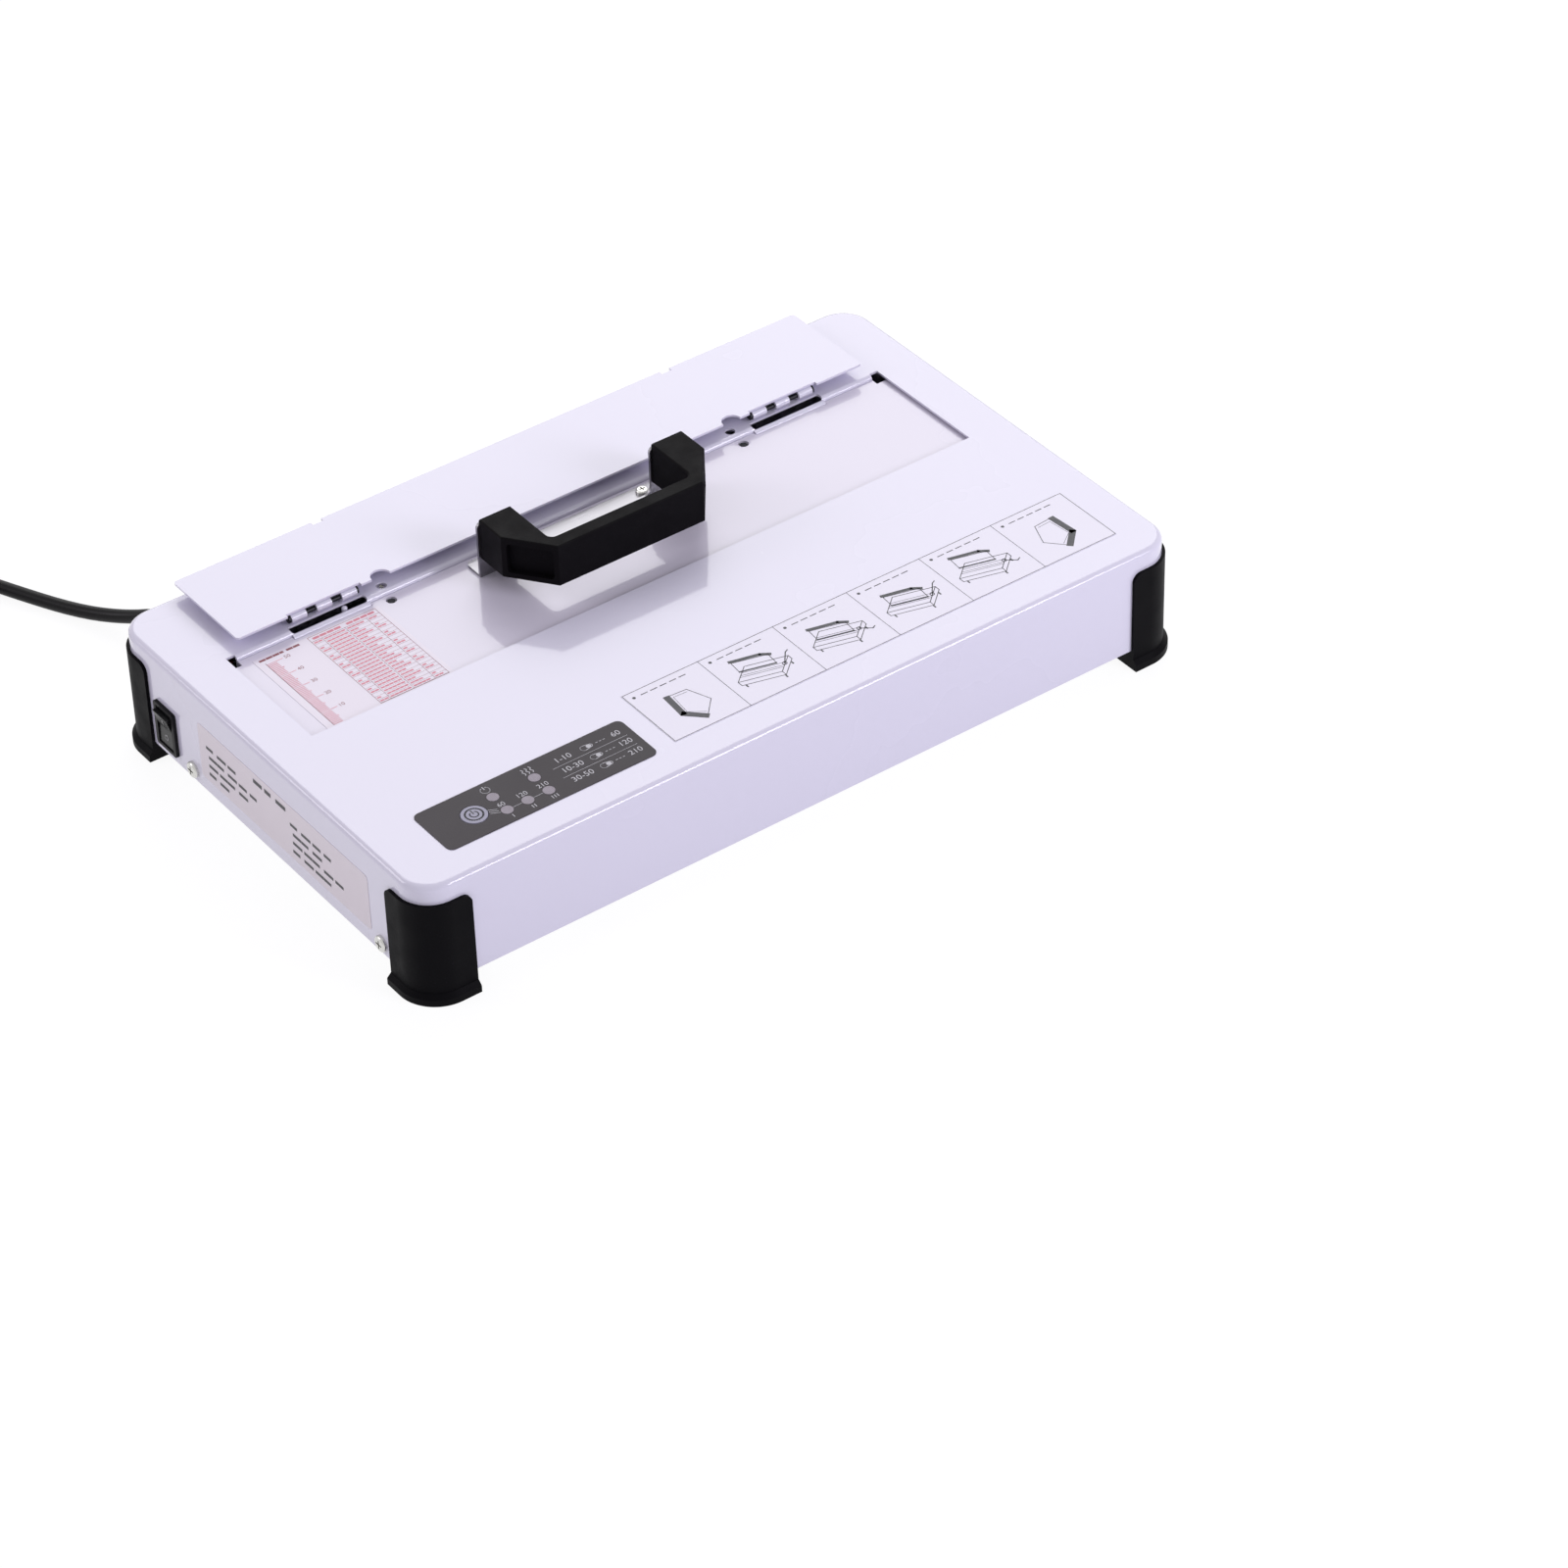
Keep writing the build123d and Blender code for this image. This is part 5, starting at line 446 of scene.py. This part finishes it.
paddle_tilt, face_slope, face_reach, half_middle = -8, 8.9, 3.62, 4.15
paddle_marks = bmesh.new()
pivot = Matrix.Translation((-183.5, 75.5, 23.75)) @ Matrix.Rotation(math.radians(paddle_tilt), 4, "Y")
outward = Matrix.Rotation(math.radians(-90), 4, "Y") @ Matrix.Rotation(math.radians(-90), 4, "Z")
for half in (-1, 1):
    mark = bmesh.new()
    if half > 0:
        stroke(mark, (0, -1.1), (0, 1.1), 0.45)
    else:
        arc(mark, (0, 0), 1.1, 0.35)
    slope = Matrix.Rotation(math.radians(-half * face_slope), 4, "Y")
    mark.transform(pivot @ Matrix.Translation((-face_reach, 0, half * half_middle)) @ slope @ outward)
    flat = bpy.data.meshes.new("mark")
    mark.to_mesh(flat)
    paddle_marks.from_mesh(flat)
    bpy.data.meshes.remove(flat)
    mark.free()
ink_white = ink_of("ink_white", (0.72, 0.72, 0.72), 0.4)
piece_from(paddle_marks, "paddle_marks", "rocker", ink_white)


# Control overlay: a dark grey polyester film stuck round the key and the lamps, with pale
# lines, plain figures and small signs. Its colour is painted darker toward its right end, a
# painted shade that evens out the light along its length.
def colour_scale():
    """Node group that scales a colour by a factor, which a value sets between two limits."""
    limits = ("From Min", "From Max", "To Min", "To Max")
    group, given, result = new_group(
        "colour_scale",
        {"Colour": "Color", "Value": "Float", **{limit: "Float" for limit in limits}},
        {"Colour": "Color"})
    factor = group.nodes.new("ShaderNodeMapRange")
    for port in ("Value", *limits):
        group.links.new(given.outputs[port], factor.inputs[port])
    scaled = group.nodes.new("ShaderNodeVectorMath")
    scaled.operation = "SCALE"
    group.links.new(given.outputs["Colour"], scaled.inputs[0])
    group.links.new(factor.outputs[0], scaled.inputs["Scale"])
    group.links.new(scaled.outputs[0], result.inputs["Colour"])
    return group


scale_group = colour_scale()


def vary(material, value, source, factors):
    """Scales a finish's colour by factors' two limits as a value goes through source's two."""
    tree = material.node_tree
    varied = tree.nodes.new("ShaderNodeGroup")
    varied.node_tree = scale_group
    for port, limit in zip(("From Min", "From Max", "To Min", "To Max"), (*source, *factors)):
        varied.inputs[port].default_value = limit
    tree.links.new(tree.nodes["grain"].outputs["Colour"], varied.inputs["Colour"])
    tree.links.new(value, varied.inputs["Value"])
    tree.links.new(varied.outputs["Colour"], tree.nodes["Principled BSDF"].inputs["Base Color"])


overlay_film = finish_of("overlay_film", (0.062, 0.053, 0.061), 0.30, 0.38, 2400, 0.18, mottle=0.08,
                         mottle_scale=30, specular=0.15)
tree = overlay_film.node_tree
place = tree.nodes.new("ShaderNodeTexCoord")
split = tree.nodes.new("ShaderNodeSeparateXYZ")
tree.links.new(place.outputs["Object"], split.inputs[0])
# Painted shade: the film's colour falls from 0.85 to 0.75 of itself toward its right end, to even out the
# light along it.
overlay_shade_ends = (-0.161, -0.063)
vary(overlay_film, split.outputs["X"], overlay_shade_ends, (0.85, 0.75))
dress(overlay_film, "control_overlay")
first_x, middle_x, last_x, sign_y, link_y = -129.6, -120.0, -110.2, -72.9, -88.1
overlay_print = bmesh.new()
for drop in (1.2, 0, -1.2):
    stroke(overlay_print, (-135.9, -84.9 + drop), (-132.5, -86.6 + drop), 0.24)
for start, end in ((-126.8, -122.8), (-117.2, -113.0)):
    stroke(overlay_print, (start, link_y), (end, link_y), 0.2)
for x, text, strokes in ((first_x, "60", 1), (middle_x, "120", 2), (last_x, "210", 3)):
    figures(overlay_print, text, (x, -83.9), 2.4)
    for number in range(strokes):
        bar_x = x + (number - (strokes - 1) / 2) * 1.2
        stroke(overlay_print, (bar_x, -93.3), (bar_x, -91.6), 0.36)
arc(overlay_print, (first_x, sign_y), 1.9, 0.4, 120, 420)
stroke(overlay_print, (first_x, sign_y + 0.5), (first_x, sign_y + 2.3), 0.4)
for shift in (-1.8, 0, 1.8):
    x = last_x + shift
    wave = [(x, -75.0), (x + 0.5, -74.1), (x - 0.4, -73.1), (x + 0.5, -72.1), (x, -71.2)]
    chain(overlay_print, wave, 0.42)
thickness_x, lamp_x, dash_x, seconds_x = -94.6, -84.6, -79.0, -69.6
rows = ((-75.0, "1-10", "60"), (-81.9, "10-30", "120"), (-88.8, "30-50", "210"))
for y, thickness, seconds in rows:
    figures(overlay_print, thickness, (thickness_x, y), 3.0)
    arc(overlay_print, (lamp_x, y), 1.5, 0.3, 90, 270)
    cone = [(lamp_x, y + 1.5), (lamp_x + 3.4, y + 0.9), (lamp_x + 4.0, y), (lamp_x + 3.4, y - 0.9),
            (lamp_x, y - 1.5)]
    chain(overlay_print, cone, 0.3)
    spot(overlay_print, (lamp_x + 2.2, y), 1.1)
    for step in range(3):
        stroke(overlay_print, (dash_x + 1.7 * step, y), (dash_x + 0.8 + 1.7 * step, y), 0.3)
    figures(overlay_print, seconds, (seconds_x, y), 2.9)
for y in (-78.5, -85.4):
    stroke(overlay_print, (-101.5, y), (-66.5, y), 0.16)
overlay_ink_z = 56.82
overlay_print.transform(Matrix.Translation((0, 0, overlay_ink_z)))
ink_pale = ink_of("ink_pale_grey", (0.52, 0.51, 0.55), 0.35)
piece_from(overlay_print, "overlay_print", "chassis", ink_pale)

# Key and lamps: satin pale-grey plastic, the key with a dark ring and the usual sign for
# power, the lamps moulded with fine dots that spread their light.
key_satin = finish_of("key_moulding", (0.38, 0.37, 0.47), 0.25, 0.36, 1500, 0.15, mottle=0.08,
                      specular=0.2)
dress(key_satin, "power_key")
lamp_lens = finish_of("lamp_lens", (0.36, 0.32, 0.37), 0.30, 0.42, 1500, 0.1, mottle=0.1,
                      specular=0.2)
tree = lamp_lens.node_tree
place = tree.nodes.new("ShaderNodeTexCoord")
cells = tree.nodes.new("ShaderNodeTexVoronoi")
cells.inputs["Scale"].default_value = 1500.0
cells.inputs["Randomness"].default_value = 0.15
tree.links.new(place.outputs["Object"], cells.inputs["Vector"])
vary(lamp_lens, cells.outputs["Distance"], (0.15, 0.55), (0.55, 1.05))
dress(lamp_lens, "indicator_lamps")
key_x, key_y, key_ink_z = -141.3, -82.7, 57.02
key_mark = bmesh.new()
arc(key_mark, (key_x, key_y), 3.6, 0.75)
arc(key_mark, (key_x, key_y), 1.75, 0.5, 125, 415)
stroke(key_mark, (key_x, key_y + 0.4), (key_x, key_y + 2.7), 0.6)
key_mark.transform(Matrix.Translation((0, 0, key_ink_z)))
ink_dark = ink_of("ink_charcoal", (0.035, 0.035, 0.045), 0.38)
piece_from(key_mark, "key_mark", "power_key", ink_dark)

# Instruction strip: a white film with six small line drawings in dark ink, each in a ruled
# cell: a document with its spine, four steps at a machine, and the bound document.
strip_white = finish_of("strip_film", (0.76, 0.725, 0.85), 0.28, 0.36, 2000, 0.08, mottle=0.02,
                        mottle_scale=20, coat=1.0, coat_roughness=0.12, specular=0.2)
dress(strip_white, "instruction_strip")
strip_left, strip_front, cell, cells_across, height, margin = -54.25, -93.7, 37.03, 6, 36.8, 0.35
frame_left, frame_right = strip_left + margin, strip_left + cells_across * cell - margin
frame_front, frame_back = strip_front + margin, strip_front + height - margin
strip_print = bmesh.new()
chain(strip_print, [(frame_left, frame_front), (frame_right, frame_front), (frame_right, frame_back),
                    (frame_left, frame_back)], 0.3, True)
for number in range(1, cells_across):
    x = strip_left + number * cell
    stroke(strip_print, (x, frame_front), (x, frame_back), 0.26)


def bound_pages(ink, x, y, flip):
    """Leaves standing open with a broad dark spine, for the first and the last cell."""
    def at(dx, dy):
        return x + flip * dx, y + dy

    chain(ink, [at(-4.6, 8.6), at(-5.6, -3.8), at(1.2, -10.6)], 2.9)
    chain(ink, [at(-3.0, 8.8), at(4.6, 8.2), at(8.8, -2.6), at(2.4, -9.6)], 0.34)
    chain(ink, [at(-3.6, -3.6), at(-2.4, 7.2), at(3.9, 6.8)], 0.2)
    chain(ink, [at(-3.2, -4.0), at(2.6, -8.2)], 0.2)


def small_machine(ink, x, y, raised, arm_up):
    """Oblique drawing of a flat machine, with a document standing in its slot."""
    chain(ink, [(x - 13, y - 1), (x + 5, y - 6), (x + 13, y + 1), (x - 5, y + 6)], 0.36, True)
    chain(ink, [(x - 13, y - 1), (x - 13, y - 3.6), (x + 5, y - 8.6), (x + 13, y - 1.6),
                (x + 13, y + 1)], 0.36)
    stroke(ink, (x + 5, y - 6), (x + 5, y - 8.6), 0.36)
    for share in (0.30, 0.42, 0.60):
        stroke(ink, (x - 13 + 8 * share, y - 1 + 7 * share), (x + 5 + 8 * share, y - 6 + 7 * share), 0.24)
    low = (x - 8.6, y + 1.6 + raised), (x + 6.6, y - 2.6 + raised)
    stroke(ink, *low, 0.9)
    chain(ink, [low[0], (x - 8.0, y + 8.2 + raised), (x + 7.2, y + 4.0 + raised), low[1]], 0.34)
    chain(ink, [(x - 8.2, y + 9.2 + raised), (x + 4.6, y + 6.0 + raised), (x + 8.0, y + 3.6 + raised)], 1.7)
    elbow = (x + 13.5, y + (3.5 if arm_up else -5.5))
    chain(ink, [(x + 9.0, y - 2.2), elbow, (elbow[0] + 1.6, elbow[1] + 0.8)], 0.5)
    arc(ink, (x + 9.0, y - 2.2), 0.9, 0.34)
    for leg in ((x - 11.5, y - 4.3), (x + 4.6, y - 8.8), (x + 11.6, y - 3.2)):
        stroke(ink, leg, (leg[0], leg[1] - 1.3), 0.7)


middle_y = strip_front + height / 2 - 2.0
bound_pages(strip_print, strip_left + 0.5 * cell, middle_y, 1)
for number, (raised, arm_up) in enumerate(((2.6, True), (0.4, False), (0.0, True), (3.2, False)), 1):
    small_machine(strip_print, strip_left + (number + 0.5) * cell - 0.8, middle_y, raised, arm_up)
bound_pages(strip_print, strip_left + 5.5 * cell, middle_y, -1)
caption_y, strip_ink_z = strip_front + height - 4.0, 56.67
for number in range(cells_across):
    spot(strip_print, (strip_left + number * cell + 3.6, caption_y), 0.75)
    for step in range(5):
        x = strip_left + number * cell + 7.0 + 4.6 * step
        stroke(strip_print, (x, caption_y), (x + 3.0, caption_y), 0.5)
strip_print.transform(Matrix.Translation((0, 0, strip_ink_z)))
piece_from(strip_print, "strip_print", "chassis", ink_dark)

# Panel chart: a white film on the sliding panel, printed in red-brown and pink: a ruler from
# the deck's edge, which reads how far the slot is open, and a table of many short rows.
chart_white = finish_of("chart_film", (0.755, 0.69, 0.80), 0.28, 0.36, 2000, 0.08, mottle=0.02,
                        mottle_scale=20, coat=1.0, coat_roughness=0.12, specular=0.2)
dress(chart_white, "panel_chart")
ink_brown = ink_of("ink_red_brown", (0.26, 0.07, 0.09), 0.4)
ink_pink = ink_of("ink_pink", (0.72, 0.24, 0.31), 0.4)
ruler_x, title_y, title_x, chart_ink_z = -151.6, 53.4, -152.6, 54.67
line_print, pink_print = bmesh.new(), bmesh.new()
stroke(line_print, (ruler_x, 0.5), (ruler_x, 51.0), 0.22)
for tick in range(51):
    y = tick - 0.2
    reach = 7.4 if tick % 10 == 0 else 5.0 if tick % 5 == 0 else 4.2
    stroke(pink_print, (ruler_x, y), (ruler_x + reach, y), 0.3 if tick % 10 == 0 else 0.42)
    if tick % 10 == 0 and tick:
        figures(line_print, str(tick), (-142.0, y), 2.0)
for step, length in enumerate((2.2, 2.2, 2.2, 1.0, 2.2, 2.2)):
    x = title_x + 3.2 * step
    stroke(line_print, (x, title_y), (x + length, title_y), 1.3)
rows_left, rows_right, rows_front, rows_head, rows_back = -129.4, -97.1, 0.6, 51.4, 54.8
row_depth, heading_y = 2.3, 53.1
chain(line_print, [(rows_left, rows_front), (rows_right, rows_front), (rows_right, rows_back),
                   (rows_left, rows_back)], 0.2, True)
for x in (-124.6, -113.6, -103.4):
    stroke(line_print, (x, rows_front), (x, rows_head), 0.16)
stroke(line_print, (rows_left, rows_head), (rows_right, rows_head), 0.2)
for word_left in (-127.4, -111.4):
    for step in range(4):
        x = word_left + 3.4 * step
        stroke(pink_print, (x, heading_y), (x + 2.2, heading_y), 1.4)
for row in range(22):
    y = rows_head - (row + 1) * row_depth
    stroke(line_print, (rows_left, y), (rows_right, y), 0.12)
    for column, (x, dashes) in enumerate(((-128.6, 2), (-123.8, 5), (-112.8, 4), (-102.6, 2))):
        shown = dashes if column == 1 else dashes - (row * 5 + column * 3) % 3
        for step in range(shown):
            dash_left, dash_y = x + 2.0 * step, y + row_depth / 2
            stroke(pink_print, (dash_left, dash_y), (dash_left + 1.25, dash_y), 0.95)
for chart_ink in (line_print, pink_print):
    chart_ink.transform(Matrix.Translation((0, 0, chart_ink_z)))
piece_from(line_print, "chart_print_lines", "panel", ink_brown)
piece_from(pink_print, "chart_print_pink", "panel", ink_pink)

# Sticker on the left wall: a slightly warm polyester label. Dark dashes in two blocks, under
# a bolder row, stand for its words.
sticker_film = finish_of("sticker_film", (0.84, 0.77, 0.82), 0.36, 0.46, 1800, 0.12, mottle=0.03,
                         mottle_scale=25)
dress(sticker_film, "rating_sticker")
bold_left, bold_z, first_row_z, sticker_ink_x = -8.0, 38.6, 33.2, -185.72
sticker_print = bmesh.new()
for word, length in enumerate((5.2, 3.4, 6.0)):
    x = bold_left + 8.2 * word
    stroke(sticker_print, (x, bold_z), (x + length, bold_z), 2.0)
for block_left, rows in ((-44.0, (3, 5, 4, 2)), (18.0, (4, 3, 5, 4))):
    for row, words in enumerate(rows):
        for word in range(words):
            x = block_left + 7.6 * word + (row * 3 + word * 5) % 4 * 0.5
            y = first_row_z - 4.4 * row
            stroke(sticker_print, (x, y), (x + 4.2 + (row + word * 2) % 3 * 0.8, y), 1.5)
sticker_print.transform(Matrix.Translation((sticker_ink_x, 0, 0)) @ outward)
piece_from(sticker_print, "sticker_print", "chassis", ink_dark)


# Mains cord: 6 mm black PVC lead, 1.45 m long. It leaves the gland at the back, comes down
# to the table and runs out to the left, where the rest is wound in two layers of loops.
def toward(angle):
    """Level direction at an angle from X."""
    return Vector((math.cos(angle), math.sin(angle), 0))


cord_black = finish_of("cord_sheath", (0.007, 0.0065, 0.0075), 0.32, 0.44, 1300, 0.12, mottle=0.15,
                       mottle_scale=30, specular=0.18)
heading = math.radians(116.7)
tail_heading, plug_heading = heading - math.radians(14), heading - math.radians(24)
ahead = toward(heading)
to_right = Vector((ahead.y, -ahead.x, 0))
exit_x, exit_z, low_z, high_z = -142.0, 17.0, 4.5, 11.7
inner_radius, pitch, low_turns, climb_turns, high_turns, straight = 21.7, 7.8, 3.0, 0.5, 2.5, 6.0
coil_start = Vector((-200.6, 271.9, low_z))
coil_middle = coil_start - to_right * (inner_radius + pitch * low_turns)
entry = coil_start - ahead * straight
route = [
    Vector((exit_x, 130.5, exit_z)), Vector((exit_x, 150.0, exit_z)), Vector((-149.5, 170.0, 7.0)),
    Vector((-161.5, 192.0, 3.05)), Vector((-178.1, 227.2, 3.05)), entry - ahead * 22.0, entry,
]
per_turn = 24
control_reach = 1.0 / (0.75 + 0.25 * math.cos(2 * math.pi / per_turn))
for number in range(1, int((low_turns + climb_turns + high_turns) * per_turn)):
    turns = number / per_turn
    if turns <= low_turns:
        radius, rise = inner_radius + pitch * (low_turns - turns), 0.0
    elif turns <= low_turns + climb_turns:
        radius, rise = inner_radius, (turns - low_turns) / climb_turns
    else:
        radius, rise = inner_radius + pitch * (turns - low_turns - climb_turns), 1.0
    outwards = Quaternion((0, 0, 1), 2 * math.pi * turns) @ to_right
    point = coil_middle + outwards * (radius * control_reach)
    point.z = low_z + (high_z - low_z) * (3 - 2 * rise) * rise * rise
    route.append(point)
coil_end = coil_middle + to_right * (inner_radius + pitch * high_turns) + ahead * straight
coil_end.z = high_z
tail_first = coil_end + ahead * 26.0
tail_second = tail_first + toward(tail_heading) * 34.0
tail_second.z = 9.1
tail_end = tail_second + toward(plug_heading) * 26.0
route += [coil_end, tail_first, tail_second, tail_end]
lead = bpy.data.curves.new("mains_cord", "CURVE")
lead.dimensions = "3D"
lead.bevel_depth = 0.003
lead.bevel_resolution = 4
lead.use_fill_caps = True
line = lead.splines.new("NURBS")
line.points.add(len(route) - 1)
for knot, point in zip(line.points, route):
    knot.co = (*(point * metres_per_mm), 1.0)
line.order_u = 3
line.use_endpoint_u = True
line.resolution_u = 5
lead.materials.append(cord_black)
mains_cord = bpy.data.objects.new("mains_cord", lead)
scene.collection.objects.link(mains_cord)
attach(mains_cord, "chassis")
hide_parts("cord_run", "cord_coil", "cord_tail")

# Gland: a black moulded strain relief snapped into the back wall, with a ribbed sleeve that
# tapers to the cord.
gland_shape = bmesh.new()
profile = [(0.0, 107.5), (6.0, 107.5), (6.3, 107.9), (6.3, 109.5), (4.9, 109.5), (4.9, 110.5),
           (6.3, 110.5), (6.3, 112.0), (5.8, 112.5), (4.9, 112.6)]
groove = 0.7
for rib in range(6):
    radius = 5.2 - 0.2 * rib
    start = 113.2 + 2.85 * rib
    profile += [(radius - groove, start), (radius, start + 0.35), (radius, start + 1.75),
                (radius - groove, start + 2.1)]
profile += [(3.9, 130.1), (3.7, 130.5), (0.0, 130.5)]
ends = [gland_shape.verts.new((exit_x + radius, y, exit_z)) for radius, y in profile]
rim = [gland_shape.edges.new(pair) for pair in zip(ends, ends[1:])]
bmesh.ops.spin(gland_shape, geom=ends + rim, cent=(exit_x, 0, exit_z), axis=(0, 1, 0),
               angle=2 * math.pi, steps=32, use_merge=True)
bmesh.ops.remove_doubles(gland_shape, verts=gland_shape.verts, dist=0.001)
bmesh.ops.recalc_face_normals(gland_shape, faces=gland_shape.faces)
gland = piece_from(gland_shape, "cord_gland", "chassis", foot_black)
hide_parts("strain_relief")

# Plug: a moulded mains plug with a ribbed sleeve, hollowed grips on its two wide faces, and
# three bright flat pins. It lies on the table past the coil.
plug_shape = bmesh.new()
grip_middle, grip_size, sleeve_end_width, sleeve_end_height = 31.0, (30, 34, 18), 0.62, 0.80
grip = Matrix.Translation((grip_middle, 0, 0)) @ Matrix.Diagonal((*grip_size, 1))
made = bmesh.ops.create_cube(plug_shape, size=1.0, matrix=grip)
for corner in made["verts"]:
    if corner.co.x < grip_middle:
        corner.co.y *= sleeve_end_width
        corner.co.z *= sleeve_end_height
bmesh.ops.bevel(plug_shape, geom=plug_shape.edges[:], offset=3.6, offset_type="OFFSET",
                affect="EDGES", segments=5, profile=0.5, material=-1)
wide = [face for face in plug_shape.faces if abs(face.normal.y) > 0.8 and face.calc_area() > 100]
bmesh.ops.inset_individual(plug_shape, faces=wide, thickness=1.6, depth=0.0)
bmesh.ops.inset_individual(plug_shape, faces=wide, thickness=0.8, depth=-0.9)
profile = [(0.0, 0.0), (3.9, 0.0)]
for rib in range(5):
    radius, start = 4.1 + 0.35 * rib, 3.2 * rib
    profile += [(radius, start + 0.6), (radius + 0.2, start + 2.4), (radius - 0.5, start + 2.7),
                (radius - 0.4, start + 3.6)]
profile += [(6.2, 17.5), (0.0, 18.0)]
ends = [plug_shape.verts.new((along, 0, radius)) for radius, along in profile]
rim = [plug_shape.edges.new(pair) for pair in zip(ends, ends[1:])]
bmesh.ops.spin(plug_shape, geom=ends + rim, cent=(0, 0, 0), axis=(1, 0, 0), angle=2 * math.pi,
               steps=24, use_merge=True)
bmesh.ops.remove_doubles(plug_shape, verts=plug_shape.verts, dist=0.001)
bmesh.ops.recalc_face_normals(plug_shape, faces=plug_shape.faces)
plug_shape.transform(Matrix.Translation(tail_end) @ Matrix.Rotation(plug_heading, 4, "Z"))
plug = piece_from(plug_shape, "mains_plug", "chassis", cord_black)
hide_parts("plug_body")
dress(rod_steel, "plug_pins")

# Tie: a woven hook-and-loop band round the coil. The cord is complete with it.
tie_weave = finish_of("woven_band", (0.012, 0.012, 0.013), 0.7, 0.85, 900, 0.9, mottle=0.4, mottle_scale=700,
                      specular=0.2)
dress(tie_weave, "cord_tie")

# Close: every CAD node has a finish or a piece that stands for it.
stood_for = {"cord_run", "cord_coil", "cord_tail", "strain_relief", "plug_body", "return_springs"}
bare = sorted(set(nodes) - dressed - stood_for)
if bare:
    raise ValueError(f"these pieces have no finish: {bare}")
